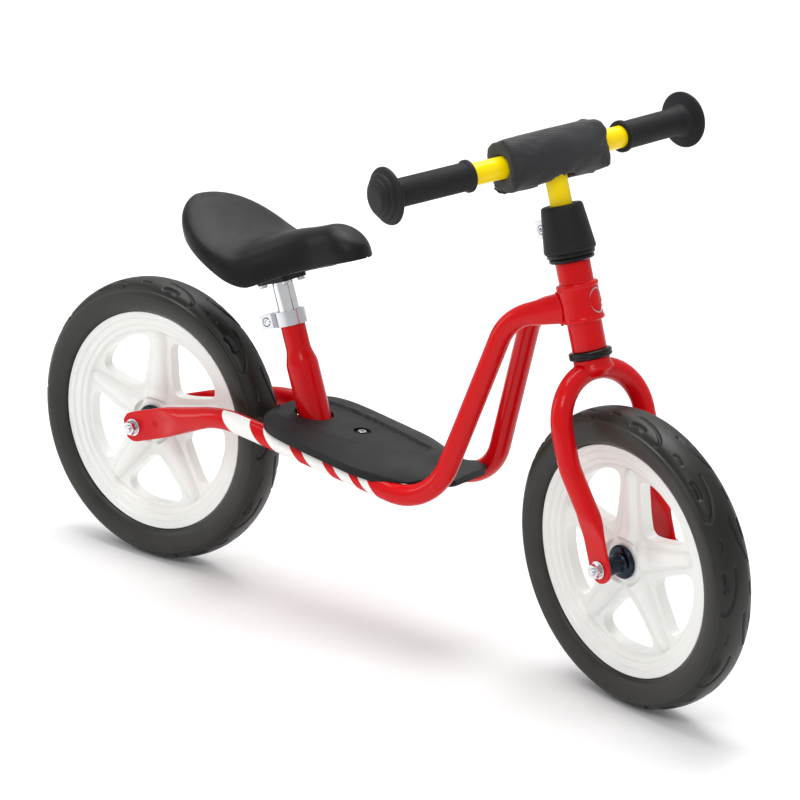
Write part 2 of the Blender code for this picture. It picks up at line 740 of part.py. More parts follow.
def fork_rings(path, section, count):
    """Rings whose wide direction stays in the plane of the arch."""
    total = sum((b - a).length for a, b in zip(path, path[1:]))
    run = 0.0
    rings = []
    forward = Vector((1.0, 0.0, 0.0))
    for k, point in enumerate(path):
        before = path[max(k - 1, 0)]
        after = path[min(k + 1, len(path) - 1)]
        if k:
            run += (point - path[k - 1]).length
        tangent = (after - before).normalized()
        ahead = (forward - tangent * forward.dot(tangent)).normalized()
        across = tangent.cross(ahead)
        tall, wide, power = section(run, total - run)
        points = []
        for j in range(count):
            angle = 2 * math.pi * (j + 0.5) / count
            c, s = math.cos(angle), math.sin(angle)
            u = math.copysign(abs(c) ** (2 / power), c) * tall
            v = math.copysign(abs(s) ** (2 / power), s) * wide
            points.append(point + ahead * u + across * v)
        rings.append(points)
    return rings


def fork():
    """Fork: one bent tube, a short crown and the steerer that turns in the head tube."""
    path = fork_path()
    arch = skin(fork_rings(path, fork_section, SECTION_POINTS), (True, True))
    body = add_object("fork", *arch, "red_paint", STEERED, STEER_PIVOT)
    top = CLAMP_TOP - 0.0010
    steerer = [
        (0.0, 0.1800), (0.0165, 0.1800), (0.0180, 0.1880), (0.0180, 0.1955),
        (0.0175, 0.1960), (STEERER_R, 0.1960), (STEERER_R, top), (0.0, top),
    ]
    join(body, add_object("cutter_fork_steerer", *lathe(steerer, MEDIUM_ROUND), "red_paint",
                          STEERED, STEER_PIVOT))
    bore = lathe(rod_profile(BAR_R + GAP, 0.2000, top + 0.01), MEDIUM_ROUND)
    cut(body, add_object("cutter_fork_bore", *bore, "red_paint", STEERED, STEER_PIVOT))
    inner_path = [p for p in path if p.z > 0.0800]
    hollow = [FRAME_TUBE_R - WALL, FRAME_TUBE_R - WALL, 2.0]
    inside = skin(fork_rings(inner_path, lambda run, left: hollow, SECTION_POINTS), (True, True))
    cut(body, add_object("cutter_fork_void", *inside, "red_paint", STEERED, STEER_PIVOT))
    drain = lathe(rod_profile(0.0060, 0.1790, 0.2100), SMALL_ROUND)
    cut(body, add_object("cutter_fork_drain", *drain, "red_paint", STEERED, STEER_PIVOT))
    hole = lathe(rod_profile(AXLE_R + GAP, -0.06, 0.06), SCREW_ROUND)
    cut(body, add_object("cutter_fork_axle", *hole, "red_paint", FRONT_WHEEL, STEER_PIVOT))


def stem_shroud():
    """Soft plastic cover over the stem clamp, open at the back for the clamp's ears."""
    wall = 0.0022
    low, high = SHROUD_BOTTOM, SHROUD_TOP
    outer = [(0.0252, low), (0.0254, low + 0.004), (0.0222, low + 0.030), (0.0204, high - 0.002),
             (0.0190, high)]
    inner = [(BAR_R + 0.0012, high), (BAR_R + 0.0012, high - wall), (0.0204 - wall, high - wall),
             (0.0222 - wall, low + 0.030), (0.0254 - wall, low + 0.004), (0.0252 - wall, low)]
    shroud = add_object("stem_shroud", *lathe(outer + inner, LARGE_ROUND), "black_plastic",
                        STEERED, STEER_PIVOT)
    half, bottom, top = 0.0105, CLAMP_BOTTOM - 0.0040, CLAMP_TOP + 0.0025
    corners = [(-half, 0.0, bottom), (half, 0.0, bottom), (half, 0.0, top), (-half, 0.0, top)]
    window = [(p.x, p.z) for p in round_corners(corners, [0.0045] * 4, 4)]
    notch = [(-0.045, y, z) for y, z in window] + [(-0.010, y, z) for y, z in window]
    count = len(window)
    faces = [list(range(count)), list(range(count, 2 * count))]
    faces += [[k, (k + 1) % count, count + (k + 1) % count, count + k] for k in range(count)]
    cut(shroud, add_object("cutter_shroud", notch, faces, "black_plastic",
                           STEERED, STEER_PIVOT, smooth=False))


# ---- handlebar -------------------------------------------------------------------------
BAR_END = 0.1900                        # along each half of the bar, from its middle
GRIP_START = 0.0950
PAD_HALF = 0.0585
KNOB_FACE = 0.1850
KNOB_END = 0.2020
STEM_BOTTOM = 0.2450


def bar_point(run):
    """A point `run` along the swept-back bar; negative is the right half."""
    return Vector((-abs(run) * math.sin(BAR_SWEEP), run * math.cos(BAR_SWEEP), BAR_HEIGHT))


def bar_path(half_run):
    return round_corners([bar_point(-half_run), bar_point(0.0), bar_point(half_run)],
                         [0.0, 0.150, 0.0], 4)


def circle_rings(path, radius, count, start=0.0, end=2 * math.pi, closed=True):
    """Round sections in planes square to a level path."""
    rings = []
    up = Vector((0.0, 0.0, 1.0))
    for k, point in enumerate(path):
        before = path[max(k - 1, 0)]
        after = path[min(k + 1, len(path) - 1)]
        tangent = (after - before).normalized()
        front = tangent.cross(up).normalized()
        steps = count if closed else count - 1
        angles = [start + (end - start) * j / steps for j in range(count)]
        rings.append([point + front * math.cos(a) * radius + up * math.sin(a) * radius
                      for a in angles])
    return rings


def handlebar():
    """Swept bar welded to the stem that slides in the steerer."""
    path = bar_path(BAR_END)
    rings = circle_rings(path, BAR_R, SMALL_ROUND)
    bar = add_object("handlebar", *skin(rings, (True, True)), "yellow_paint",
                     STEERED, STEER_PIVOT)
    stem = lathe(rod_profile(BAR_R, STEM_BOTTOM, BAR_HEIGHT), MEDIUM_ROUND)
    join(bar, add_object("cutter_stem", *stem, "yellow_paint", STEERED, STEER_PIVOT))
    long_path = bar_path(BAR_END + 0.01)
    bore = skin(circle_rings(long_path, BAR_R - WALL, SMALL_ROUND), (True, True))
    cut(bar, add_object("cutter_bar_bore", *bore, "yellow_paint", STEERED, STEER_PIVOT))
    stem_bore = lathe(rod_profile(BAR_R - WALL, STEM_BOTTOM - 0.01, BAR_HEIGHT), MEDIUM_ROUND)
    cut(bar, add_object("cutter_stem_bore", *stem_bore, "yellow_paint", STEERED, STEER_PIVOT))


def handlebar_pad():
    """Rolled foam and fabric pad, open along its lower back edge and notched for the stem."""
    outer_r, inner_r = 0.0245, BAR_R + GAP
    path = bar_path(PAD_HALF)
    open_half = math.radians(9)
    seam = math.radians(250)
    start, end = seam + open_half, seam + 2 * math.pi - open_half
    outer = circle_rings(path, outer_r, 22, start, end, closed=False)
    inner = circle_rings(path, inner_r, 22, end, start, closed=False)
    rings = [a + b for a, b in zip(outer, inner)]
    pad = add_object("handlebar_pad", *skin(rings, (True, True)), "pad_fabric",
                     STEERED, STEER_PIVOT)
    notch = box((-0.016, -0.0160, BAR_HEIGHT - 0.035), (0.0165, 0.0160, BAR_HEIGHT + 0.0010))
    cut(pad, add_object("cutter_pad", *notch, "pad_fabric", STEERED, STEER_PIVOT, smooth=False))


def grip(name, side):
    """Rubber grip with an inner collar and a stepped safety knob on its outer end."""
    bore = BAR_R + GAP
    profile = [
        (bore, GRIP_START), (0.0150, GRIP_START), (0.0158, GRIP_START + 0.001),
        (0.0158, GRIP_START + 0.004), (0.0136, GRIP_START + 0.0055),
        (0.0136, KNOB_FACE - 0.008), (0.0160, KNOB_FACE - 0.003), (0.0262, KNOB_FACE),
        (0.0278, KNOB_FACE + 0.0025), (0.0270, KNOB_FACE + 0.0050), (0.0215, KNOB_FACE + 0.0085),
        (0.0210, KNOB_FACE + 0.0110), (0.0165, KNOB_FACE + 0.0130), (0.0155, KNOB_FACE + 0.0155),
        (0.0090, KNOB_END - 0.0008), (0.0, KNOB_END),
        (0.0, BAR_END + GAP), (bore, BAR_END + GAP),
    ]
    turn = Matrix.Rotation(-side * math.pi / 2, 4, "X")
    sweep = Matrix.Rotation(side * BAR_SWEEP, 4, "Z")
    place = STEERED @ Matrix.Translation((0.0, 0.0, BAR_HEIGHT)) @ sweep @ turn
    add_object(name, *lathe(profile, MEDIUM_ROUND), "black_rubber", place, STEER_PIVOT)


# ---- wheels ------------------------------------------------------------------------------
WINDOW_INNER = 0.0360
WINDOW_OUTER = 0.0850
SPOKE_HALF_INNER = 0.0150
SPOKE_HALF_OUTER = 0.0125
TYRE_SEAT_HALF = 0.0128                 # half width of the bed the tyre sits in
BEARING_R = 0.0110
BEARING_WIDTH = 0.0070


def rim_profile():
    """Half section of the rim, mirrored about the wheel's middle plane."""
    bearing_r = BEARING_R + GAP
    bearing_depth = BEARING_WIDTH + GAP
    half = [
        (0.0070, 0.0), (0.0070, HUB_HALF_WIDTH - bearing_depth),
        (bearing_r, HUB_HALF_WIDTH - bearing_depth), (bearing_r, HUB_HALF_WIDTH),
        (0.0230, HUB_HALF_WIDTH), (0.0360, 0.0090), (0.0840, 0.0070), (0.0900, 0.0110),
        (RIM_R, RIM_HALF_WIDTH), (RIM_R, TYRE_SEAT_HALF), (RIM_BED_R, TYRE_SEAT_HALF),
    ]
    return half[1:] + [(r, -h) for r, h in reversed(half[1:])]


def window_outline(middle):
    """One opening between two spokes, as a rounded four-sided outline."""
    inner = math.pi / SPOKES - math.asin(SPOKE_HALF_INNER / WINDOW_INNER)
    outer = math.pi / SPOKES - math.asin(SPOKE_HALF_OUTER / WINDOW_OUTER)
    sweep = [outer * (k / 3 - 1) for k in range(7)]
    places = [(WINDOW_INNER, -inner)] + [(WINDOW_OUTER, angle) for angle in sweep]
    places.append((WINDOW_INNER, inner))
    corners = [(r * math.cos(middle + a), r * math.sin(middle + a), 0.0) for r, a in places]
    radii = [0.0055, 0.0050] + [0.0] * 5 + [0.0050, 0.0055]
    rounded = round_corners(corners, radii, 3)
    return [(p.x, p.y) for p in rounded]


def rim(name, place, pivot):
    """Moulded five-spoke wheel; one spoke points straight up."""
    wheel = add_object(name, *lathe(rim_profile(), WHEEL_SEGMENTS), "white_plastic",
                       place, pivot)
    verts = []
    faces = []
    for k in range(SPOKES):
        middle = -math.pi / 2 + math.pi / SPOKES + 2 * math.pi * k / SPOKES
        more_verts, more_faces = prism(window_outline(middle), -0.03, 0.03)
        faces += [[index + len(verts) for index in face] for face in more_faces]
        verts += more_verts
    cut(wheel, add_object("cutter_" + name, verts, faces, "white_plastic", place, pivot,
                          smooth=False))


def tyre(name, place, pivot):
    """Foam tyre with a narrow flat running band and full shoulders."""
    inner = RIM_BED_R + GAP
    edge = RIM_R + GAP
    half = [
        (inner, 0.0122), (edge, 0.0125), (edge, 0.0172), (0.1280, 0.0232), (0.1370, 0.0236),
        (0.1430, 0.0207), (0.1478, 0.0140),
    ]
    flat = WHEEL_RADIUS / math.cos(math.pi / WHEEL_SEGMENTS)
    band = [(flat, 0.0050), (flat, -0.0050)]
    profile = half + band + [(r, -h) for r, h in reversed(half)]
    add_object(name, *lathe(profile, WHEEL_SEGMENTS), "tyre_foam", place, pivot)


def axle_group(label, place, pivot, frame_pivot):
    """Bearings, spacers, axle, washers and nuts of one wheel."""
    leg_outer = AXLE_HALF_WIDTH + DROPOUT_THICKNESS
    tip = leg_outer + 0.0115
    add_object(label + "_axle", *lathe(rod_profile(AXLE_R, -tip, tip), SCREW_ROUND), "zinc",
               place, frame_pivot)
    for side, word in ((-1, "right"), (1, "left")):
        face = place if side > 0 else place @ Matrix.Rotation(math.pi, 4, "X")
        bearing = tube_profile(BEARING_R, AXLE_R + GAP, HUB_HALF_WIDTH - BEARING_WIDTH,
                               HUB_HALF_WIDTH)
        add_object("%s_bearing_%s" % (label, word), *lathe(bearing, SMALL_ROUND), "zinc", face, pivot)
        spacer = [
            (AXLE_R + GAP, HUB_HALF_WIDTH + GAP), (0.0160, HUB_HALF_WIDTH + GAP),
            (0.0170, HUB_HALF_WIDTH + 0.0013), (0.0170, HUB_HALF_WIDTH + 0.0040),
            (0.0150, HUB_HALF_WIDTH + 0.0060), (0.0105, HUB_HALF_WIDTH + 0.0065),
            (0.0095, HUB_HALF_WIDTH + 0.0085), (0.0095, AXLE_HALF_WIDTH - GAP),
            (AXLE_R + GAP, AXLE_HALF_WIDTH - GAP),
        ]
        add_object("%s_hub_spacer_%s" % (label, word), *lathe(spacer, SMALL_ROUND), "black_steel",
                   face, frame_pivot)
        washer = tube_profile(0.0090, AXLE_R + GAP, leg_outer + GAP, leg_outer + 0.0020)
        add_object("%s_washer_%s" % (label, word), *lathe(washer, SMALL_ROUND), "zinc",
                   face, frame_pivot)
        hex_nut("%s_axle_nut_%s" % (label, word), 0.0128, leg_outer + 0.0023,
                leg_outer + 0.0085, AXLE_R + GAP, "zinc", face, frame_pivot)


# ---- assembly --------------------------------------------------------------------------------
def build():
    for obj in list(bpy.data.objects):
        bpy.data.objects.remove(obj, do_unlink=True)
    side_tube("frame_tube_right", -1)
    side_tube("frame_tube_left", 1)
    head_tube()
    seat_tube()
    seat_hole = Matrix.Translation(SEAT.translation) @ Matrix.Rotation(-SEAT_LEAN, 4, "Y")
    bridge("seat_bridge", -0.128, -0.070, seat_hole, SEAT_TUBE_R + GAP)
    board_hole = Matrix.Translation((BOARD_SCREW_X, 0.0, WHEEL_RADIUS))
    bridge("board_bridge", -0.050, -0.020, board_hole, BOARD_SCREW_HOLE_R)
    footboard()
    socket_screw("footboard_screw", 0.0045, 0.0030, 0.0028, 0.0260, "zinc",
                 board_screw_frame() @ Matrix.Translation((0.0, 0.0, BOARD_SCREW_SEAT)))
    split_clamp("seat_clamp", SEAT_TUBE_NECK_R + GAP, 0.0160, 0.0325, 0.0075, 0.0268,
                SEAT_CLAMP_BOTTOM, SEAT_CLAMP_TOP, "zinc", SEAT, Vector((0.0, 0.0, 0.0)))
    seat_post()
    saddle_bracket()
    saddle_screws()
    saddle_base()
    saddle()
    headset()
    fork()
    split_clamp("stem_clamp", STEERER_R + GAP, 0.0172, 0.0335, 0.0066, 0.0280,
                CLAMP_BOTTOM, CLAMP_TOP, "zinc", STEERED, STEER_PIVOT)
    stem_shroud()
    handlebar()
    handlebar_pad()
    grip("grip_right", -1)
    grip("grip_left", 1)
    for label, place, pivot, frame_pivot in (
            ("front", FRONT_WHEEL, FRONT_PIVOT, STEER_PIVOT),
            ("rear", REAR_WHEEL, REAR_PIVOT, Vector((0.0, 0.0, 0.0)))):
        rim(label + "_rim", place, pivot)
        tyre(label + "_tyre", place, pivot)
        axle_group(label, place, pivot, frame_pivot)


build()
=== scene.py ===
"""Detailed model and studio for the balance bike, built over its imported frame.

Metres; +X is forward, +Y is the rider's left and +Z is up.
"""

import math

import bmesh
import bpy
import numpy as np
from mathutils import Matrix, Vector


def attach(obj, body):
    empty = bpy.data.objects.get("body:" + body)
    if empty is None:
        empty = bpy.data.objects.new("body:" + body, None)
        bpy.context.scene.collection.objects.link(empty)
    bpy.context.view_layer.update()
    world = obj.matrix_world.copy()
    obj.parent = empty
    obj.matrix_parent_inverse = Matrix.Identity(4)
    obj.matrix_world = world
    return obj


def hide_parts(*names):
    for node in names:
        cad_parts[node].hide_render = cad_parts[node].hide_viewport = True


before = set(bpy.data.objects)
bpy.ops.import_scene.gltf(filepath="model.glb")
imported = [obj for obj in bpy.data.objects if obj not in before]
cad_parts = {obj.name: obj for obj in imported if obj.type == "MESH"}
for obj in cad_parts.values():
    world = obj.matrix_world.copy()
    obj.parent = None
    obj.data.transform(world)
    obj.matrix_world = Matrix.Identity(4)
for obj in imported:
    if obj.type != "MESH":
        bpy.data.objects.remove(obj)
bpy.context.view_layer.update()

# ---- driving dimensions, the same as the CAD's -----------------------------
WHEEL_RADIUS = 0.150
WHEELBASE = 0.597
AXLE_HALF_WIDTH = 0.0412
DROPOUT_THICKNESS = 0.0040
FORK_OFFSET = 0.0056
HEAD_LEAN = math.radians(17.7)
SEAT_LEAN = math.radians(20.5)
REST_STEER = math.radians(-14.6)
FRAME_TUBE_R = 0.0107
BAR_R = 0.0110
BAR_SWEEP = math.radians(5.8)
BAR_HEIGHT = 0.3937
POST_R = 0.0110
HEAD_BOTTOM = 0.2043
HEAD_TOP = 0.2910
LUG_BOTTOM = 0.2320
LUG_TOP = 0.2700
HEAD_R = 0.0170
LUG_R = 0.0210
STEERER_R = 0.0140
CLAMP_BOTTOM = 0.3110
CLAMP_TOP = 0.3390
SHROUD_BOTTOM = 0.3005
SHROUD_TOP = 0.3460
SEAT_TUBE_TOP = 0.1030
SEAT_CLAMP_BOTTOM = 0.0890
SEAT_CLAMP_TOP = 0.1043
SADDLE_HEIGHT = 0.1345
RIM_R = 0.1164
RIM_HALF_WIDTH = 0.0164
RIM_BED_R = 0.1130
HUB_HALF_WIDTH = 0.0130
SPOKES = 5
AXLE_R = 0.0040
GRIP_START = 0.0950
KNOB_FACE = 0.1850
KNOB_END = 0.2020
PAD_HALF = 0.0585
BAR_HALF = 0.190                        # inside the closed ends of the grips
GAP = 0.0003                            # clearance between neighbouring pieces
FINE = 96                               # sides of a round piece
SECTION = 48                            # points round a swept tube
SIDES = ((-1, "right"), (1, "left"))
LEFTWARD = Vector((0.0, 1.0, 0.0))
UPWARD = Vector((0.0, 0.0, 1.0))

REAR_AXLE = Vector((-WHEELBASE / 2, 0.0, WHEEL_RADIUS))
FRONT_AXLE = Vector((WHEELBASE / 2, 0.0, WHEEL_RADIUS))
AXIS_FOOT = FRONT_AXLE - Vector((FORK_OFFSET, 0.0, 0.0))
SEAT_FOOT = Vector((-0.099, 0.0, 0.206))


def leaning_frame(origin, lean):
    """Local Z leans back from vertical by `lean`, local X is forward, local Y is left."""
    return Matrix.Translation(origin) @ Matrix.Rotation(-lean, 4, "Y")


HEAD = leaning_frame(AXIS_FOOT, HEAD_LEAN)
STEERED = HEAD @ Matrix.Rotation(REST_STEER, 4, "Z")
SEAT = leaning_frame(SEAT_FOOT, SEAT_LEAN)
LATHE_TO_Y = Matrix.Rotation(-math.pi / 2, 4, "X")
REAR_WHEEL = Matrix.Translation(REAR_AXLE) @ LATHE_TO_Y
FRONT_WHEEL = STEERED @ HEAD.inverted() @ Matrix.Translation(FRONT_AXLE) @ LATHE_TO_Y


# ---- shader helpers ----------------------------------------------------------
def material(name):
    """A new node material, its shader and a shorthand for adding nodes."""
    mat = bpy.data.materials.new(name)
    mat.use_nodes = True
    tree = mat.node_tree
    shader = tree.nodes["Principled BSDF"]
    coords = tree.nodes.new("ShaderNodeTexCoord")

    def node(kind, inputs=None, **settings):
        new = tree.nodes.new(kind)
        for key, value in settings.items():
            setattr(new, key, value)
        for key, value in (inputs or {}).items():
            if isinstance(value, bpy.types.NodeSocket):
                tree.links.new(value, new.inputs[key])
            else:
                new.inputs[key].default_value = value
        return new

    return mat, shader, coords.outputs["Object"], node, tree.links.new


def noise(node, coords, scale, detail=4.0, rough=0.55):
    return node("ShaderNodeTexNoise", {"Vector": coords, "Scale": scale, "Detail": detail,
                                       "Roughness": rough}).outputs["Fac"]


def ramp(node, value, low, high, out_low=0.0, out_high=1.0):
    """Map low..high to out_low..out_high, clamped."""
    return node("ShaderNodeMapRange", {"Value": value, "From Min": low, "From Max": high,
                                       "To Min": out_low, "To Max": out_high}).outputs["Result"]


def maths(node, operation, a, b=0.0):
    return node("ShaderNodeMath", {0: a, 1: b}, operation=operation).outputs[0]


def mix_colour(node, factor, a, b):
    """Colour a where the factor is 0 and colour b where it is 1."""
    mixer = node("ShaderNodeMix", data_type="RGBA")
    for socket, value in ((mixer.inputs[0], factor), (mixer.inputs[6], a), (mixer.inputs[7], b)):
        if isinstance(value, bpy.types.NodeSocket):
            mixer.id_data.links.new(value, socket)
        else:
            socket.default_value = value
    return mixer.outputs[2]


def rgb(red, green, blue):
    """An sRGB colour of 0..255 values as linear RGBA."""
    def linear(value):
        value /= 255
        return value / 12.92 if value < 0.04045 else ((value + 0.055) / 1.055) ** 2.4
    return (linear(red), linear(green), linear(blue), 1.0)


def bump(node, height, strength, distance):
    return node("ShaderNodeBump", {"Height": height, "Strength": strength,
                                   "Distance": distance}).outputs["Normal"]


def gloss_paint(name, colour, shade, stripes=None):
    """Glossy powder coat: slight shade variation, orange peel, a clear coat, pale stripes."""
    mat, shader, coords, node, link = material(name)
    cloud = noise(node, coords, 9.0)
    base = mix_colour(node, ramp(node, cloud, 0.35, 0.65, 0.0, 0.5), colour, shade)
    if stripes:
        base = mix_colour(node, stripes(node, coords), base, rgb(244, 243, 240))
    link(base, shader.inputs["Base Color"])
    link(ramp(node, noise(node, coords, 60.0), 0.3, 0.7, 0.26, 0.34), shader.inputs["Roughness"])
    link(bump(node, noise(node, coords, 260.0, 1.0), 0.03, 0.0003), shader.inputs["Normal"])
    shader.inputs["Coat Weight"].default_value = 0.32
    shader.inputs["Coat Roughness"].default_value = 0.05
    shader.inputs["Specular IOR Level"].default_value = 0.08
    return mat


def moulded_plastic(name, colour, light, grain, depth, rough):
    """Matt moulded plastic with a fine spark-eroded grain."""
    mat, shader, coords, node, link = material(name)
    cloud = noise(node, coords, 25.0)
    speck = noise(node, coords, grain, 3.0, 0.7)
    blend = maths(node, "MULTIPLY", ramp(node, cloud, 0.3, 0.7), ramp(node, speck, 0.35, 0.7))
    link(mix_colour(node, blend, colour, light), shader.inputs["Base Color"])
    link(ramp(node, cloud, 0.3, 0.7, rough - 0.05, rough + 0.07), shader.inputs["Roughness"])
    link(bump(node, speck, 0.55, depth), shader.inputs["Normal"])
    shader.inputs["Specular IOR Level"].default_value = 0.26
    return mat


def metal(name, colour, rough, brush):
    """Plated steel with fine scratches and a little cloudiness."""
    mat, shader, coords, node, link = material(name)
    shader.inputs["Metallic"].default_value = 1.0
    cloud = noise(node, coords, 70.0)
    stretch = node("ShaderNodeMapping", {"Vector": coords, "Scale": (40.0, 40.0, 900.0)})
    lines = noise(node, stretch.outputs["Vector"], 1.5, 3.0)
    dark = tuple(c * 0.92 for c in colour[:3]) + (1.0,)
    link(mix_colour(node, ramp(node, cloud, 0.3, 0.7), colour, dark), shader.inputs["Base Color"])
    link(ramp(node, lines, 0.3, 0.7, rough * 0.75, rough * 1.3), shader.inputs["Roughness"])
    link(bump(node, lines, brush, 0.0003), shader.inputs["Normal"])
    return mat


def white_moulding():
    """Slightly translucent warm white plastic with a soft gloss."""
    mat, shader, coords, node, link = material("white_moulding")
    cloud = noise(node, coords, 14.0)
    link(mix_colour(node, ramp(node, cloud, 0.3, 0.7), rgb(240, 240, 236), rgb(233, 234, 231)),
         shader.inputs["Base Color"])
    link(ramp(node, noise(node, coords, 45.0), 0.3, 0.7, 0.28, 0.40), shader.inputs["Roughness"])
    link(bump(node, noise(node, coords, 300.0, 2.0), 0.06, 0.0006), shader.inputs["Normal"])
    shader.inputs["Subsurface Weight"].default_value = 0.10
    shader.inputs["Subsurface Radius"].default_value = (0.006, 0.006, 0.005)
    shader.inputs["Subsurface Scale"].default_value = 1.0
    shader.inputs["Coat Weight"].default_value = 0.3
    shader.inputs["Coat Roughness"].default_value = 0.18
    return mat


def tyre_foam():
    """Closed-cell foam rubber: satin, darker on the tread band, painted shade in the grooves, pitted
    skin.
    """
    mat, shader, coords, node, link = material("tyre_foam_skin")
    cloud = noise(node, coords, 18.0)
    pits = node("ShaderNodeTexVoronoi", {"Vector": coords, "Scale": 900.0}).outputs["Distance"]
    fine = noise(node, coords, 1500.0, 3.0, 0.7)
    height = maths(node, "ADD", maths(node, "MULTIPLY", pits, 0.4), fine)
    wall = mix_colour(node, ramp(node, cloud, 0.32, 0.7), rgb(33, 32, 28), rgb(46, 45, 40))
    # This attribute darkens the tread band and paints shade into the grooves by their depth.
    mask = node("ShaderNodeAttribute", attribute_name="tread_band_and_groove_shade").outputs["Fac"]
    link(mix_colour(node, ramp(node, mask, 0.0, 1.8), wall, rgb(10, 10, 10)),
         shader.inputs["Base Color"])
    link(ramp(node, cloud, 0.3, 0.7, 0.36, 0.46), shader.inputs["Roughness"])
    link(bump(node, height, 0.25, 0.0002), shader.inputs["Normal"])
    shader.inputs["Specular IOR Level"].default_value = 0.36
    return mat


def saddle_skin():
    """Integral foam skin with a fine pebbled grain."""
    mat, shader, coords, node, link = material("saddle_grain")
    cells = node("ShaderNodeTexVoronoi", {"Vector": coords, "Scale": 850.0},
                 feature="SMOOTH_F1").outputs["Distance"]
    fine = noise(node, coords, 1300.0, 3.0, 0.6)
    height = maths(node, "ADD", cells, maths(node, "MULTIPLY", fine, 0.4))
    cloud = noise(node, coords, 20.0)
    link(mix_colour(node, ramp(node, cloud, 0.3, 0.7), rgb(12, 13, 15), rgb(20, 21, 23)),
         shader.inputs["Base Color"])
    link(ramp(node, noise(node, coords, 90.0), 0.3, 0.7, 0.36, 0.46), shader.inputs["Roughness"])
    link(bump(node, height, 0.3, 0.0003), shader.inputs["Normal"])
    shader.inputs["Specular IOR Level"].default_value = 0.22
    return mat


def pad_fabric():
    """Plain-woven nylon: crossed thread waves under a soft sheen."""
    mat, shader, coords, node, link = material("pad_weave")
    threads = []
    for direction in ("X", "Y", "Z"):
        wave = node("ShaderNodeTexWave", {"Vector": coords, "Scale": 260.0, "Distortion": 0.6,
                                          "Detail": 1.0, "Detail Scale": 4.0},
                    bands_direction=direction)
        threads.append(wave.outputs["Fac"])
    weave = maths(node, "MULTIPLY", maths(node, "ADD", threads[0], threads[1]), threads[2])
    cloud = noise(node, coords, 40.0)
    base = mix_colour(node, ramp(node, cloud, 0.3, 0.7), rgb(24, 25, 28), rgb(33, 34, 37))
    base = mix_colour(node, ramp(node, weave, 0.2, 1.5, 0.0, 0.35), base, rgb(46, 47, 50))
    link(base, shader.inputs["Base Color"])
    link(bump(node, weave, 0.5, 0.0004), shader.inputs["Normal"])
    link(ramp(node, cloud, 0.3, 0.7, 0.72, 0.86), shader.inputs["Roughness"])
    shader.inputs["Sheen Weight"].default_value = 0.25
    shader.inputs["Sheen Roughness"].default_value = 0.4
    return mat


# ---- plain stripes, in object coordinates ---------------------------------------
STRIPE_SLANT = 0.9                      # run of a bar against its rise
STRIPE_INNER_EDGE = 0.0515              # the bars lie further out than this
STRIPE_TOP_EDGE = 0.2050                # and lower than this
STRIPES = ((0.006, 0.034), (0.056, 0.029), (0.099, 0.023), (0.134, 0.017),
           (0.162, 0.011))              # start and width of each, shrinking forwards


def between(node, value, low, high, soft=0.0003):
    """1 where low < value < high."""
    rise = ramp(node, value, low - soft, low + soft)
    fall = ramp(node, value, high - soft, high + soft, 1.0, 0.0)
    return maths(node, "MULTIPLY", rise, fall)


def tube_stripes(node, coords):
    """Slanted pale bars on the outer sides of the two lower frame tubes."""
    axes = node("ShaderNodeSeparateXYZ", {0: coords}).outputs
    slant = maths(node, "ADD", axes["X"], maths(node, "MULTIPLY", axes["Z"], STRIPE_SLANT))
    outer = ramp(node, maths(node, "ABSOLUTE", axes["Y"]), STRIPE_INNER_EDGE,
                 STRIPE_INNER_EDGE + 0.0005)
    total = None
    for start, width in STRIPES:
        bar = between(node, slant, start, start + width)
        total = bar if total is None else maths(node, "MAXIMUM", total, bar)
    low = ramp(node, axes["Z"], STRIPE_TOP_EDGE, STRIPE_TOP_EDGE + 0.0005, 1.0, 0.0)
    return maths(node, "MULTIPLY", maths(node, "MULTIPLY", total, outer), low)


# ---- mesh helpers -----------------------------------------------------------------
def smooth_step(x):
    x = min(max(x, 0.0), 1.0)
    return x * x * (3 - 2 * x)


def ease(x):
    """The same curve for arrays."""
    x = np.clip(x, 0.0, 1.0)
    return x * x * (3 - 2 * x)


def mix(a, b, t):
    return a + (b - a) * t


def bulge(value, power):
    """A sine or cosine raised to a power with its sign kept: below 1 it squares a circle."""
    return math.copysign(abs(value) ** power, value)


def piece(name, verts, faces, mat, body, nodes=(), slot=None, matrix=None, sharp=35):
    """One visible piece that rides on a body and stands for CAD nodes."""
    matrix = matrix or Matrix.Identity(4)
    mesh = bpy.data.meshes.new(name)
    mesh.from_pydata([matrix @ Vector(v) for v in verts], [], [list(f) for f in faces])
    bm = bmesh.new()
    bm.from_mesh(mesh)
    bmesh.ops.recalc_face_normals(bm, faces=bm.faces)
    bm.to_mesh(mesh)
    bm.free()
    mesh.polygons.foreach_set("use_smooth", [True] * len(mesh.polygons))
    mesh.set_sharp_from_angle(angle=math.radians(sharp))
    mesh.materials.append(mat)
    obj = bpy.data.objects.new(name, mesh)
    bpy.context.scene.collection.objects.link(obj)
    if body:
        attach(obj, body)
    if nodes:
        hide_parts(*nodes)
    return obj


def helper(name, verts, faces, matrix=None):
    """A cutter: made like a piece, used in one Boolean and then deleted."""
    return piece(name, verts, faces, None, None, matrix=matrix)


def boolean(obj, tool, operation, sharp=35):
    """Apply a Boolean with `tool`, delete the tool and mark the new edges."""
    modifier = obj.modifiers.new("cut", "BOOLEAN")
    modifier.operation = operation
    modifier.solver = "EXACT"
    modifier.object = tool
    bake(obj)
    obj.data.set_sharp_from_angle(angle=math.radians(sharp))
    bpy.data.objects.remove(tool, do_unlink=True)


def bake(obj):
    """Replace the mesh by its evaluated result and drop the modifiers."""
    graph = bpy.context.evaluated_depsgraph_get()
    graph.update()
    mesh = bpy.data.meshes.new_from_object(obj.evaluated_get(graph))
    obj.modifiers.clear()
    old = obj.data
    obj.data = mesh
    bpy.data.meshes.remove(old)


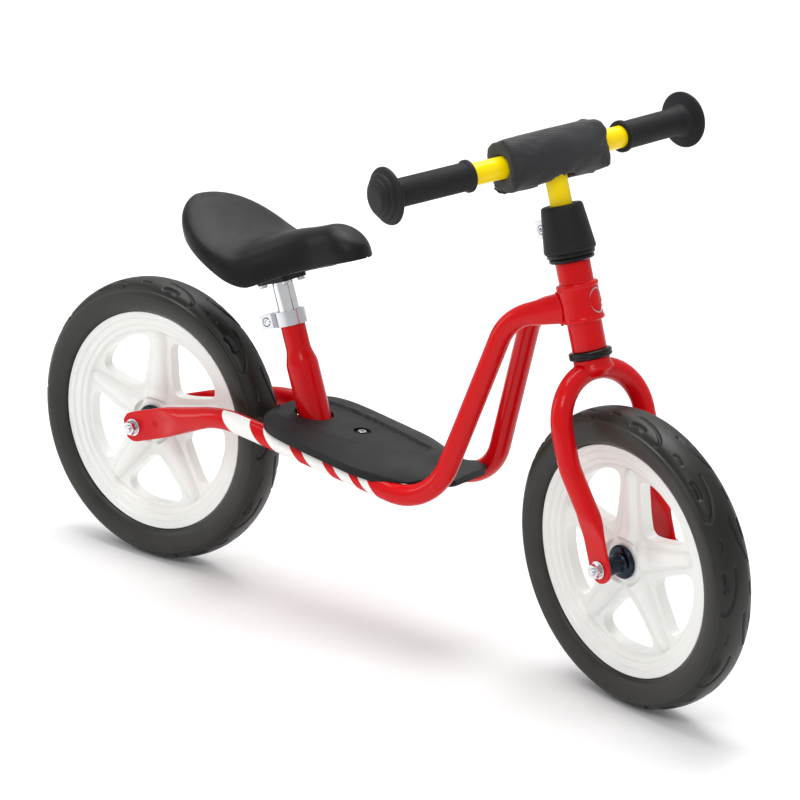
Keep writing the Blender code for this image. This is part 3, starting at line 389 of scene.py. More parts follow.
def soften(obj, width, angle=40, segments=3):
    """Round every edge sharper than `angle`."""
    modifier = obj.modifiers.new("edges", "BEVEL")
    modifier.width = width
    modifier.segments = segments
    modifier.limit_method = "ANGLE"
    modifier.angle_limit = math.radians(angle)


def rounded_profile(points, radius, steps=4):
    """Round every corner of a closed (radius, height) outline except on the axis."""
    result = []
    count = len(points)
    for k, point in enumerate(points):
        here = Vector(point)
        back = Vector(points[k - 1]) - here
        ahead = Vector(points[(k + 1) % count]) - here
        if here.x == 0.0 or back.length < 1e-7 or ahead.length < 1e-7:
            result.append(point)
            continue
        reach = min(radius, back.length * 0.45, ahead.length * 0.45)
        a = here + back.normalized() * reach
        b = here + ahead.normalized() * reach
        for j in range(steps + 1):
            t = j / steps
            spot = a.lerp(here, t).lerp(here.lerp(b, t), t)
            result.append((spot.x, spot.y))
    return result


def lathe(profile, segments=FINE):
    """Turn a closed (radius, height) outline about Z; radius 0 points become poles."""
    verts = []
    rings = []
    for radius, height in profile:
        if radius == 0.0:
            verts.append((0.0, 0.0, height))
            rings.append([len(verts) - 1] * segments)
            continue
        start = len(verts)
        for k in range(segments):
            angle = 2 * math.pi * k / segments
            verts.append((radius * math.cos(angle), radius * math.sin(angle), height))
        rings.append(list(range(start, start + segments)))
    faces = []
    for a, b in zip(rings, rings[1:] + rings[:1]):
        for k in range(segments):
            n = (k + 1) % segments
            corners = []
            for index in (a[k], a[n], b[n], b[k]):
                if index not in corners:
                    corners.append(index)
            if len(corners) > 2:
                faces.append(corners)
    return verts, faces


def turned(name, profile, mat, body, nodes, slot, matrix, radius=0.0005, segments=FINE):
    """A turned piece with small rounded edges."""
    return piece(name, *lathe(rounded_profile(profile, radius), segments), mat, body, nodes,
                 slot, matrix)


def rod_profile(radius, low, high):
    return [(0.0, low), (radius, low), (radius, high), (0.0, high)]


def tube_profile(outer, inner, low, high):
    return [(inner, low), (outer, low), (outer, high), (inner, high)]


def prism(outline, low, high):
    """A flat outline raised from one height to another."""
    count = len(outline)
    verts = [(x, y, low) for x, y in outline] + [(x, y, high) for x, y in outline]
    faces = [list(range(count)), list(range(count, 2 * count))]
    for k in range(count):
        n = (k + 1) % count
        faces.append([k, n, count + n, count + k])
    return verts, faces


def round_corners(corners, radii, steps):
    """A path of straight runs whose corners are bent to the given radii."""
    corners = [Vector(c) for c in corners]
    count = len(corners)
    path = []
    for k, corner in enumerate(corners):
        if radii[k] == 0.0:
            path.append(corner)
            continue
        back = (corners[k - 1] - corner).normalized()
        ahead = (corners[(k + 1) % count] - corner).normalized()
        half = back.angle(ahead) / 2
        centre = corner + (back + ahead).normalized() * (radii[k] / math.sin(half))
        start = corner + back * (radii[k] / math.tan(half)) - centre
        end = corner + ahead * (radii[k] / math.tan(half)) - centre
        turn = start.angle(end)
        for j in range(steps + 1):
            t = j / steps
            spot = start * math.sin((1 - t) * turn) + end * math.sin(t * turn)
            path.append(centre + spot / math.sin(turn))
    return path


def arc(radius, start, end, steps):
    """Points on a circle between two angles in degrees."""
    angles = [math.radians(start + (end - start) * k / steps) for k in range(steps + 1)]
    return [(radius * math.cos(a), radius * math.sin(a)) for a in angles]


def resample(path, spacing):
    """The same path with no two points further apart than `spacing`."""
    points = [path[0]]
    for a, b in zip(path, path[1:]):
        pieces = max(1, math.ceil((b - a).length / spacing))
        points += [a.lerp(b, k / pieces) for k in range(1, pieces + 1)]
    return points


def sweep(path, section, across, count=SECTION):
    """Rings along a path; `section` gives tall, wide and squareness, `across` the wide axis."""
    total = sum((b - a).length for a, b in zip(path, path[1:]))
    run = 0.0
    rings = []
    for k, point in enumerate(path):
        before = path[max(k - 1, 0)]
        after = path[min(k + 1, len(path) - 1)]
        if k:
            run += (point - path[k - 1]).length
        tangent = (after - before).normalized()
        side = (across - tangent * across.dot(tangent)).normalized()
        up = tangent.cross(side)
        tall, wide, power = section(run, total - run)
        points = []
        for j in range(count):
            angle = 2 * math.pi * (j + 0.5) / count
            c, s = math.cos(angle), math.sin(angle)
            u = bulge(c, 2 / power) * tall
            v = bulge(s, 2 / power) * wide
            points.append(point + up * u + side * v)
        rings.append(points)
    return rings


def skin(rings, caps=(True, True), closed=True):
    """Faces over a stack of equal rings, with the asked ends closed."""
    count = len(rings[0])
    verts = [v for r in rings for v in r]
    faces = []
    for level in range(len(rings) - 1):
        a, b = level * count, (level + 1) * count
        for k in range(count if closed else count - 1):
            n = (k + 1) % count
            faces.append([a + k, a + n, b + n, b + k])
    if caps[0]:
        faces.append(list(range(count)))
    if caps[1]:
        faces.append(list(range(len(verts) - count, len(verts))))
    return verts, faces


# ---- frame ------------------------------------------------------------------------
DROPOUT_END = 0.011                     # plate behind the axle
DROPOUT_RUN = 0.040                     # length of the flat plate
DROPOUT_SLOPE = math.radians(19.5)
PLATE_HALF_HEIGHT = 0.0158
FLATTEN_RUN = 0.085                     # where the tube is round again
OVAL_RUN = 0.060                        # oval end at the head tube
OVAL_HALF_HEIGHT = 0.0150
OVAL_HALF_WIDTH = 0.0080
BEAD_R = 0.0015
TUBE_GRADES = (7.0, 2.0)                # squareness of a flattened and of a round section


def side_tube_path(side, steps, spacing):
    """Centre line of one bent frame tube, from the rear dropout to the head tube."""
    plate_y = AXLE_HALF_WIDTH + DROPOUT_THICKNESS / 2
    slope = math.tan(DROPOUT_SLOPE)
    rear_x = REAR_AXLE.x - DROPOUT_END
    corners = [
        (rear_x, plate_y, WHEEL_RADIUS - DROPOUT_END * slope),
        (REAR_AXLE.x + 0.045, plate_y, WHEEL_RADIUS + 0.045 * slope),
        (-0.178, 0.0505, 0.192),
        (0.0900, 0.0500, 0.1590),
        (0.1485, 0.0210, 0.3625),
        (0.212, 0.0087, 0.3846),
    ]
    radii = [0.0, 0.150, 0.120, 0.058, 0.046, 0.0]
    path = round_corners(corners, radii, steps)
    points = resample(path, spacing)
    points[1:1] = [points[0].lerp(points[1], t) for t in (0.01, 0.25, 0.5, 0.75)]
    return [Vector((p.x, p.y * side, p.z)) for p in points]


def side_tube_section(run, left):
    """A flat dropout plate that opens into a round tube, oval at the head tube."""
    opened = smooth_step((run - DROPOUT_RUN) / (FLATTEN_RUN - DROPOUT_RUN))
    squeezed = smooth_step(1 - left / OVAL_RUN)
    narrowed = smooth_step((run - DROPOUT_RUN) / 0.095)
    chamfer = mix(0.62, 1.0, min(run / 0.0075, 1.0) ** 0.8)
    tall = mix(mix(PLATE_HALF_HEIGHT, FRAME_TUBE_R, narrowed), OVAL_HALF_HEIGHT, squeezed)
    wide = mix(mix(DROPOUT_THICKNESS / 2, FRAME_TUBE_R, opened), OVAL_HALF_WIDTH, squeezed)
    return tall * chamfer, wide, mix(*TUBE_GRADES, opened)


def clearance_section(run, left):
    """The same section, grown by the gap to a neighbour."""
    tall, wide, power = side_tube_section(run, left)
    return tall + GAP, wide + GAP, power


def frame_tubes(paint):
    for side, word in SIDES:
        path = side_tube_path(side, 16, 0.006)
        rings = sweep(path, side_tube_section, LEFTWARD)
        tube = piece("bent_tube_" + word, *skin(rings), paint, "frame",
                     ["frame_tube_" + word], "red_paint")
        lug = helper("lug_cutter", *lathe(rod_profile(LUG_R - 0.0004, LUG_BOTTOM - 0.02,
                                                      LUG_TOP + 0.02)), HEAD)
        boolean(tube, lug, "DIFFERENCE")
        dimple = Matrix.Translation(REAR_AXLE + Vector((0.0295, 0.0, 0.0105)))
        flip = Matrix.Rotation(math.pi * (1 - side) / 2, 4, "X")
        cup = helper("dimple_cutter", *lathe(
            [(0.0, 0.0440), (0.0022, 0.0442), (0.0036, 0.0449), (0.0042, 0.0460),
             (0.0042, 0.0600), (0.0, 0.0600)], 40), dimple @ LATHE_TO_Y @ flip)
        boolean(tube, cup, "DIFFERENCE")
        weld_bead(word, path, paint)


def weld_bead(word, path, paint):
    """The rippled bead where a side tube meets the head-tube sleeve."""
    end = path[-1]
    back = path[-6]
    tangent = (end - back).normalized()
    across = (LEFTWARD - tangent * LEFTWARD.dot(tangent)).normalized()
    up = tangent.cross(across)
    axis_point = HEAD.translation
    axis = (HEAD.to_3x3() @ UPWARD).normalized()
    # each line along the tube's skin meets the sleeve where a step**2 + b step + c is 0
    centres = []
    count = 90
    for k in range(count):
        angle = 2 * math.pi * k / count
        offset = up * (0.0152 * math.cos(angle)) + across * (0.0082 * math.sin(angle))
        start = back + offset
        reach = start - axis_point
        flat = reach - axis * reach.dot(axis)
        heading = tangent - axis * tangent.dot(axis)
        a = heading.dot(heading)
        b = 2 * flat.dot(heading)
        c = flat.dot(flat) - LUG_R ** 2
        root = b * b - 4 * a * c
        if root < 0:
            continue
        step = (-b - math.sqrt(root)) / (2 * a)
        centres.append(start + tangent * step)
    rings = []
    for k, centre in enumerate(centres):
        before, after = centres[k - 1], centres[(k + 1) % len(centres)]
        along = (after - before).normalized()
        out = (centre - axis_point)
        out = (out - axis * out.dot(axis)).normalized()
        third = along.cross(out)
        ripple = BEAD_R + BEAD_R / 6 * math.sin(2 * math.pi * k / 3.2)
        rings.append([centre + (out * math.cos(t) + third * math.sin(t)) * ripple
                      for t in (2 * math.pi * j / 10 for j in range(10))])
    verts, faces = skin(rings + [rings[0]], (False, False))
    piece("weld_bead_" + word, verts, faces, paint, "frame", (), "red_paint")


def head_tube(paint, badge):
    """Head tube with its sleeve between two raised bands, and a plain oval ring on it."""
    inner = STEERER_R + 0.0016
    band = 0.0010
    profile = [
        (inner, HEAD_BOTTOM), (HEAD_R, HEAD_BOTTOM),
        (HEAD_R, LUG_BOTTOM - 0.0005), (LUG_R - 0.0006, LUG_BOTTOM + 0.0006),
        (LUG_R, LUG_BOTTOM + 0.0030), (LUG_R - band, LUG_BOTTOM + 0.0050),
        (LUG_R - band, LUG_TOP - 0.0050), (LUG_R, LUG_TOP - 0.0030),
        (LUG_R - 0.0006, LUG_TOP - 0.0006), (HEAD_R, LUG_TOP + 0.0005),
        (HEAD_R, HEAD_TOP), (inner, HEAD_TOP),
    ]
    turned("steering_head", profile, paint, "frame", ["head_tube"], "red_paint", HEAD, 0.0009)
    rings = []
    middle = (LUG_BOTTOM + LUG_TOP) / 2
    count = 64
    for k in range(count):
        angle = 2 * math.pi * k / count
        centre = Vector((0.0, 0.0095 * math.cos(angle), middle + 0.0125 * math.sin(angle)))
        out = LUG_R - band + 0.0002
        facing = math.asin(centre.y / out)
        rings.append([((out + dr) * math.cos(facing), centre.y * (1 + dr / out),
                       mix(middle, centre.z, scale))
                      for dr, scale in ((-0.0004, 1.0), (0.0005, 0.985), (0.0005, 0.90),
                                        (-0.0004, 0.885))])
    verts, faces = skin(rings + [rings[0]], (False, False))
    piece("plain_badge_ring", verts, faces, badge, "frame", (), "zinc", HEAD)


def seat_tube(paint):
    """Tube for the seat post, wider at its foot."""
    thin = 0.0127
    thick = 0.0165
    wall = 0.0018
    bore = POST_R + GAP
    outline = [(thick - wall, -0.032), (thick, -0.032), (thick, 0.044)]
    for k in range(9):
        t = k / 8
        outline.append((mix(thick, thin, smooth_step(t)), mix(0.046, 0.066, t)))
    outline += [(thin, SEAT_TUBE_TOP), (bore, SEAT_TUBE_TOP), (bore, 0.060), (thick - wall, 0.040)]
    turned("seat_mast", outline, paint, "frame", ["seat_tube"], "red_paint", SEAT, 0.0004)


# ---- footboard -------------------------------------------------------------------------
BOARD_REAR = -0.132
BOARD_FRONT = 0.100
TONGUE_BOTTOM = 0.1790
BOARD_SCREW_X = -0.036
BOARD_SCREW_SEAT = 0.1950
SKIRT = 0.0085
CHANNEL_DEPTH = 0.0028
BOARD_THICKNESS = 0.0057


def board_half_width(x):
    rear = 0.066 * (1 - max(0.0, (-0.045 - x) / 0.0875) ** 4.5) ** 0.30
    waist = mix(0.066, 0.0385, smooth_step((x + 0.010) / 0.105))
    nose = max(0.0, (x - 0.088) / (BOARD_FRONT - 0.088))
    return max(0.012, min(rear, waist) * math.sqrt(max(0.0, 1 - 0.6 * nose * nose)))


def board_edge_height(x):
    return mix(0.1855 - 0.145 * x, 0.1850, smooth_step((x - 0.050) / 0.030))


def board_top(x, t):
    """The top: a crowned leaf with a long sunken channel between two raised borders."""
    ridge = mix(0.1985 - 0.070 * x, 0.1870, smooth_step((x - 0.050) / 0.030))
    height = mix(board_edge_height(x), ridge, 1 - abs(t) ** 2.6)
    along = smooth_step((x + 0.150) / 0.03) * smooth_step((0.046 - x) / 0.010)
    half_channel = mix(0.60, 0.30, smooth_step((x + 0.09) / 0.14))
    across = smooth_step((half_channel - abs(t)) / 0.06)
    lip = math.exp(-((abs(t) - half_channel - 0.02) / 0.030) ** 2) * 0.0006
    return height - CHANNEL_DEPTH * along * across + lip * along


def footboard(plastic):
    """Moulded board with a skirt over the tubes, a screw pocket and a tongue in front."""
    stations, count = 150, 90
    rings = []
    for k in range(stations + 1):
        x = mix(BOARD_REAR, BOARD_FRONT, k / stations)
        half = board_half_width(x)
        edge = smooth_step((x - 0.066) / 0.012)
        top = []
        low = []
        for j in range(count + 1):
            t = -math.cos(math.pi * j / count)
            z = board_top(x, t)
            top.append(Vector((x, t * half, z)))
            rim = smooth_step((abs(t) - 0.95) / 0.03)
            under = mix(z - BOARD_THICKNESS, board_edge_height(x) - SKIRT, rim)
            low.append(Vector((x, t * half, mix(under, TONGUE_BOTTOM, edge))))
        rings.append(top + low[::-1])
    board = piece("foot_rest", *skin(rings), plastic, "frame", ["footboard"], "black_plastic")
    for side in (-1, 1):
        path = side_tube_path(side, 10, 0.012)
        grown = sweep(path, clearance_section, LEFTWARD, 32)
        boolean(board, helper("tube_cutter", *skin(grown)), "DIFFERENCE")
    boolean(board, helper("mast_cutter", *lathe(rod_profile(0.0190, -0.05, 0.05)), SEAT),
            "DIFFERENCE")
    place = Matrix.Translation((BOARD_SCREW_X, 0.0, 0.0))
    pocket = [(0.0, BOARD_SCREW_SEAT), (0.0078, BOARD_SCREW_SEAT), (0.0090, 0.1958),
              (0.0098, 0.230), (0.0, 0.230)]
    boolean(board, helper("pocket_cutter", *lathe(pocket), place), "DIFFERENCE")
    soften(board, 0.0007, 50, 2)


# ---- fasteners -----------------------------------------------------------------------------
CLAMP_SLOT = 0.0012                     # half the width of the split
CLAMP_HEAD_R = 0.0043
CLAMP_HEAD_H = 0.0042
CLAMP_SHANK_R = 0.0025
CLAMP_NUT_FLATS = 0.0078
CLAMP_NUT_POCKET_R = 0.0049
CLAMP_NUT_POCKET = 0.0034


def hex_outline(across_flats):
    corner = across_flats / math.sqrt(3)
    return [(corner * math.cos(math.radians(60 * k)),
             corner * math.sin(math.radians(60 * k))) for k in range(6)]


def socket_screw(name, node, head_r, head_h, shank_r, length, mat, body, matrix):
    """A cap screw with a hexagon socket."""
    profile = [
        (0.0, -length), (shank_r * 0.8, -length), (shank_r, -length + 0.0006), (shank_r, 0.0),
        (head_r - 0.0003, 0.0), (head_r, 0.0003), (head_r, head_h - 0.0006),
        (head_r - 0.0006, head_h), (0.0, head_h),
    ]
    screw = piece(name, *lathe(profile, 48), mat, body, [node], "zinc", matrix)
    socket = helper("socket_cutter", *prism(hex_outline(head_r), head_h * 0.35, head_h * 2),
                    matrix)
    boolean(screw, socket, "DIFFERENCE")


def hex_nut(name, node, across_flats, low, high, bore, mat, body, matrix):
    """A hexagon nut with chamfered corners."""
    nut = piece(name, *prism(hex_outline(across_flats), low, high), mat, body, [node],
                "zinc", matrix)
    corner = across_flats / math.sqrt(3)
    cone = [(0.0, low - 0.001), (corner - 0.0006, low - 0.001), (corner - 0.0006, low),
            (corner + 0.0004, low + 0.0008), (corner + 0.0004, high - 0.0008),
            (corner - 0.0007, high + 0.0002), (0.0, high + 0.0002)]
    boolean(nut, helper("cone_cutter", *lathe(cone, 64), matrix), "INTERSECT")
    boolean(nut, helper("hole_cutter", *lathe(rod_profile(bore, low - 0.01, high + 0.01), 48),
                        matrix), "DIFFERENCE")


def split_clamp(label, inner, outer, ear_end, ear_half, bolt_x, low, high, mat, body, matrix):
    """A split band whose thick ears hold a sunk cap screw and, opposite, a nut."""
    meet = math.degrees(math.asin(ear_half * 0.72 / outer))
    part = math.degrees(math.asin(CLAMP_SLOT / inner))
    ear = [(-ear_end, -CLAMP_SLOT), (-ear_end, -ear_half), (-bolt_x + 0.0075, -ear_half)]
    outline = ear + arc(outer, 180 + meet, 540 - meet, 72)
    outline += [(x, -y) for x, y in reversed(ear)]
    outline += arc(inner, 180 - part, -180 + part, 72)
    clamp = piece(label + "_band", *prism(outline, low, high), mat, body, [label], "zinc", matrix)
    middle = (low + high) / 2
    across = matrix @ Matrix.Translation((-bolt_x, 0.0, middle)) @ LATHE_TO_Y
    facing = across @ Matrix.Rotation(math.pi, 4, "X")
    for side, radius, depth in ((facing, CLAMP_HEAD_R + 0.0006, CLAMP_HEAD_H),
                                (across, CLAMP_NUT_POCKET_R, CLAMP_NUT_POCKET),
                                (across, CLAMP_SHANK_R + 0.0004, 2 * ear_half)):
        hole = rod_profile(radius, ear_half - depth, ear_half + 0.01)
        boolean(clamp, helper("hole_cutter", *lathe(hole, 48), side), "DIFFERENCE")
    soften(clamp, 0.0007, 40, 3)
    socket_screw(label + "_cap_screw", label + "_bolt", CLAMP_HEAD_R, CLAMP_HEAD_H,
                 CLAMP_SHANK_R, 2 * ear_half - CLAMP_HEAD_H, mat, body,
                 facing @ Matrix.Translation((0.0, 0.0, ear_half - CLAMP_HEAD_H + 0.0004)))
    hex_nut(label + "_hex", label + "_nut", CLAMP_NUT_FLATS, ear_half - 0.0032,
            ear_half + 0.0016, CLAMP_SHANK_R + 0.0001, mat, body, across)


# ---- seat ----------------------------------------------------------------------------------
SADDLE_NOSE = 0.1205
SADDLE_TAIL = -0.0880
SADDLE_UNDERSIDE = 0.0065
SADDLE_TAIL_HALF = 0.0675
SADDLE_NOSE_HALF = 0.0235
SADDLE_DIP = 0.0480                     # height of the seat's lowest part
SADDLE_TAIL_RISE = 0.056
SADDLE_YAW = math.radians(-2.6)         # clamped slightly off straight


def saddle_half_width(u):
    wide = mix(SADDLE_TAIL_HALF, SADDLE_NOSE_HALF, smooth_step((u + 0.018) / 0.088))
    nose = max(0.0, (u - 0.090) / (SADDLE_NOSE - 0.090))
    tail = max(0.0, (-0.030 - u) / (-0.030 - SADDLE_TAIL))
    return wide * math.sqrt(max(0.0, 1 - nose ** 2.6)) * math.sqrt(max(0.0, 1 - tail ** 2.2))


def saddle_top(u):
    tail = SADDLE_TAIL_RISE * smooth_step((0.002 - u) / 0.088)
    nose = 0.026 * max(0.0, (u - 0.080) / (SADDLE_NOSE - 0.080)) ** 2.2
    return SADDLE_DIP + tail - nose - 0.0015 * smooth_step((u - 0.03) / 0.04)


def saddle_low(u):
    back = max(0.0, 0.004 - u)
    return SADDLE_UNDERSIDE + 0.86 * back * back / (back + 0.010)


def saddle(skin_material):
    """Moulded foam saddle: full tail, dipped middle, rounded nose and a turned-under rim."""
    rows, count = 90, 96
    rings = []
    for k in range(rows + 1):
        s = 0.5 - 0.5 * math.cos(math.pi * (0.012 + 0.976 * k / rows))
        u = mix(SADDLE_TAIL, SADDLE_NOSE, s)
        half = max(saddle_half_width(u), 0.0015)
        low = saddle_low(u)
        top = saddle_top(u)
        points = []
        for j in range(count):
            angle = 2 * math.pi * (j + 0.5) / count
            c, sn = math.cos(angle), math.sin(angle)
            round_y, round_z = (0.80, 0.72) if sn > 0 else (0.42, 0.60)
            waist = mix(low, top, 0.16)
            reach = (top - waist) if sn > 0 else (waist - low)
            y = bulge(c, round_y) * half
            z = waist + bulge(sn, round_z) * reach
            if sn < 0:
                skirt = smooth_step((u + 0.060) / 0.045) * smooth_step((0.050 - u) / 0.055)
                z -= 0.0050 * skirt * smooth_step((abs(y) / half - 0.72) / 0.18)
            if sn < 0 and abs(y) < half * 0.82:
                z += 0.006 * smooth_step((half * 0.82 - abs(y)) / 0.004)
            points.append(Vector((u, y, SADDLE_HEIGHT + z)))
        rings.append(points)
    twisted = SEAT @ Matrix.Rotation(SADDLE_YAW, 4, "Z")
    seat = piece("saddle_shell", *skin(rings), skin_material, "seat", ["saddle_cushion"],
                 "saddle_skin", twisted, sharp=75)


# ---- steering ---------------------------------------------------------------------------------
FORK_TOP = 0.1850
FORK_HALF = 0.0520
LEG_FLAT = 0.0400                       # length of each leg's flat foot
LEG_FOOT = 0.0140                       # foot beyond the axle, and its half width


def fork_path():
    """Centre line of the fork's one bent tube, from the right foot to the left."""
    foot = (FORK_OFFSET * math.cos(HEAD_LEAN), AXLE_HALF_WIDTH + DROPOUT_THICKNESS / 2,
            -FORK_OFFSET * math.sin(HEAD_LEAN))
    corners = [
        (foot[0], -foot[1], foot[2] - LEG_FOOT), (foot[0], -foot[1], 0.0480),
        (0.0, -FORK_HALF, 0.1000), (0.0, -FORK_HALF, FORK_TOP),
        (0.0, FORK_HALF, FORK_TOP), (0.0, FORK_HALF, 0.1000),
        (foot[0], foot[1], 0.0480), (foot[0], foot[1], foot[2] - LEG_FOOT),
    ]
    radii = [0.0, 0.120, 0.100, 0.0510, 0.0510, 0.100, 0.120, 0.0]
    path = resample(round_corners(corners, radii, 20), 0.005)
    ends = [path[0].lerp(path[1], t) for t in (0.25, 0.5, 0.75)]
    tails = [path[-2].lerp(path[-1], t) for t in (0.25, 0.5, 0.75)]
    return path[:1] + ends + path[1:-1] + tails + path[-1:]


def fork_section(run, left):
    end = min(run, left)
    opened = smooth_step((end - LEG_FLAT) / 0.035)
    tip = math.sqrt(max(0.05, 1 - max(0.0, 1 - end / 0.0120) ** 2))
    broad = mix(LEG_FOOT * tip, FRAME_TUBE_R, opened)
    thick = mix(DROPOUT_THICKNESS / 2, FRAME_TUBE_R, opened)
    return thick, broad, mix(*TUBE_GRADES, opened)


def fork(paint):
    """The bent tube and, on its crown, the steerer that runs through the head tube."""
    rings = sweep(fork_path(), fork_section, Vector((1.0, 0.0, 0.0)))
    piece("fork_arch", *skin(rings), paint, "steering", ["fork"], "red_paint", STEERED)
    top = CLAMP_TOP - 0.0010
    crown = [(0.0, 0.1790), (0.0160, 0.1790)]
    for k in range(9):
        t = k / 8
        crown.append((mix(0.0205, 0.0180, smooth_step(t * 1.4)), mix(0.1850, 0.1955, t)))
    crown += [(0.0175, 0.1960), (STEERER_R, 0.1960), (STEERER_R, top), (BAR_R + GAP, top),
              (BAR_R + GAP, 0.2000), (0.0, 0.2000)]
    turned("fork_steerer", crown, paint, "steering", (), "red_paint", STEERED, 0.0006)


def headset(plastic, steel):
    """Two bearing covers and the ring that locks them."""
    inner = STEERER_R + GAP
    turned("lower_cover", [
        (inner, 0.1963), (0.0200, 0.1963), (0.0212, 0.1975), (0.0212, 0.1996), (0.0208, 0.2000),
        (0.0212, 0.2004), (0.0212, 0.2028), (0.0200, 0.2040), (inner, 0.2040)],
        plastic, "frame", ["lower_bearing_cover"], "black_plastic", HEAD, 0.0006)
    turned("upper_cover", [
        (inner, HEAD_TOP + 0.0003), (0.0205, HEAD_TOP + 0.0003), (0.0222, 0.2925),
        (0.0222, 0.2952), (inner, 0.2952)],
        plastic, "frame", ["upper_bearing_cover"], "black_plastic", HEAD)
    turned("lock_ring", [
        (inner, 0.2955), (0.0212, 0.2955), (0.0236, 0.2967), (0.0236, 0.3002), (inner, 0.3002)],
        steel, "steering", ["headset_lock_ring"], "black_steel", STEERED)


def stem_shroud(plastic):
    """Conical cover over the stem clamp, open behind where the clamp's ears stand out."""
    wall = 0.0022
    low, high = SHROUD_BOTTOM, SHROUD_TOP
    outer = [(0.0246, low), (0.0254, low + 0.0015), (0.0254, low + 0.0045), (0.0250, low + 0.0060),
             (0.0222, low + 0.030), (0.0206, high - 0.0030), (0.0198, high - 0.0008),
             (0.0184, high)]
    inner = [(BAR_R + 0.0012, high), (BAR_R + 0.0012, high - wall), (0.0204 - wall, high - wall),
             (0.0222 - wall, low + 0.030), (0.0254 - wall, low + 0.004), (0.0240 - wall, low)]
    shroud = turned("soft_shroud", outer + inner, plastic, "steering", ["stem_shroud"],
                    "black_plastic", STEERED, 0.0008)
    half, bottom, top = 0.0105, CLAMP_BOTTOM - 0.0040, CLAMP_TOP + 0.0025
    corners = [(-half, 0.0, bottom), (half, 0.0, bottom), (half, 0.0, top), (-half, 0.0, top)]
    window = [(p.x, p.z) for p in round_corners(corners, [0.0070] * 4, 12)]
    notch = [(-0.045, y, z) for y, z in window] + [(-0.010, y, z) for y, z in window]
    count = len(window)
    faces = [list(range(count)), list(range(count, 2 * count))]
    faces += [[k, (k + 1) % count, count + (k + 1) % count, count + k] for k in range(count)]
    boolean(shroud, helper("notch_cutter", notch, faces, STEERED), "DIFFERENCE")
    soften(shroud, 0.0006, 50, 2)


# ---- handlebar -------------------------------------------------------------------------------
def bar_point(run):
    """A point on the bar's centre line, `run` from its middle."""
    return Vector((-abs(run) * math.sin(BAR_SWEEP), run * math.cos(BAR_SWEEP), BAR_HEIGHT))


def bar_path(half_run, steps):
    return round_corners([bar_point(-half_run), bar_point(0.0), bar_point(half_run)],
                         [0.0, 0.150, 0.0], steps)


def bar_front(run):
    """The direction square to the bar that points forward."""
    tangent = (bar_point(run + 0.001) - bar_point(run - 0.001)).normalized()
    return tangent.cross(UPWARD).normalized()


def bar_section(run, left):
    return BAR_R, BAR_R, TUBE_GRADES[1]


def handlebar(paint):
    """The bar, bent in its middle, and the stem welded under it."""
    rings = sweep(bar_path(BAR_HALF, 12), bar_section, UPWARD, 64)
    piece("bent_bar", *skin(rings), paint, "handlebar", ["handlebar"], "yellow_paint", STEERED)
    stem = [(0.0, 0.2450), (BAR_R - 0.001, 0.2450), (BAR_R, 0.2460), (BAR_R, 0.3830),
            (BAR_R + 0.0012, 0.3850), (BAR_R + 0.0012, BAR_HEIGHT), (0.0, BAR_HEIGHT)]
    turned("stem_tube", stem, paint, "handlebar", (), "yellow_paint", STEERED, 0.0005)


def grip(word, side, rubber):
    """Finely ribbed grip with an inner collar and a stepped knob at its end."""
    outline = [(BAR_R + GAP, GRIP_START), (0.0148, GRIP_START), (0.0158, GRIP_START + 0.0010),
               (0.0158, GRIP_START + 0.0040), (0.0140, GRIP_START + 0.0058)]
    start, end = GRIP_START + 0.0070, KNOB_FACE - 0.0090
    ribs = 34
    for k in range(ribs):
        low = mix(start, end, k / ribs)
        pitch = (end - start) / ribs
        outline += [(0.0134, low), (0.0138, low + pitch * 0.25), (0.0138, low + pitch * 0.65),
                    (0.0134, low + pitch * 0.9)]
    outline += [
        (0.0140, KNOB_FACE - 0.0070), (0.0165, KNOB_FACE - 0.0025), (0.0262, KNOB_FACE),
        (0.0278, KNOB_FACE + 0.0012), (0.0278, KNOB_FACE + 0.0030), (0.0268, KNOB_FACE + 0.0048),
        (0.0238, KNOB_FACE + 0.0060), (0.0226, KNOB_FACE + 0.0064), (0.0222, KNOB_FACE + 0.0086),
        (0.0214, KNOB_FACE + 0.0098), (0.0184, KNOB_FACE + 0.0106), (0.0180, KNOB_FACE + 0.0124),
        (0.0172, KNOB_FACE + 0.0136), (0.0146, KNOB_FACE + 0.0142), (0.0142, KNOB_FACE + 0.0154),
        (0.0120, KNOB_FACE + 0.0164), (0.0060, KNOB_END - 0.0002), (0.0, KNOB_END),
        (0.0, BAR_HALF + GAP), (BAR_R + GAP, BAR_HALF + GAP),
    ]
    turn = Matrix.Rotation(-side * math.pi / 2, 4, "X")
    swept = Matrix.Rotation(side * BAR_SWEEP, 4, "Z")
    place = STEERED @ Matrix.Translation((0.0, 0.0, BAR_HEIGHT)) @ swept @ turn
    piece("ribbed_grip_" + word, *lathe(rounded_profile(outline, 0.0004, 2)), rubber,
          "handlebar", ["grip_" + word], "black_rubber", place, sharp=60)


PAD_BORE_R = BAR_R + 0.0010
PAD_SHAPE = (3.6, 0.0212, 0.0240)       # squareness, half depth, half height
PAD_SEAM = math.radians(232)
PAD_SWELL = 0.0018                      # furthest that the cloth may move
PAD_VOXEL = 0.0022
SWELL_FRAMES = 20
SWELL_PRESSURE = 4.0
FLAP_LIFT = 0.0012
FLAP_THICKNESS = 0.0011


def clear_of_bar(points):
    """1 for points well away from the handlebar's centre line, 0 for the pad's own bore."""
    to_local = np.array(STEERED.inverted())
    local = points @ to_local[:3, :3].T + to_local[:3, 3]
    centre_x = -np.abs(local[:, 1]) * math.tan(BAR_SWEEP)
    away = np.hypot(local[:, 0] - centre_x, local[:, 2] - BAR_HEIGHT)
    return ease((away - BAR_R - 0.0020) / 0.0040)


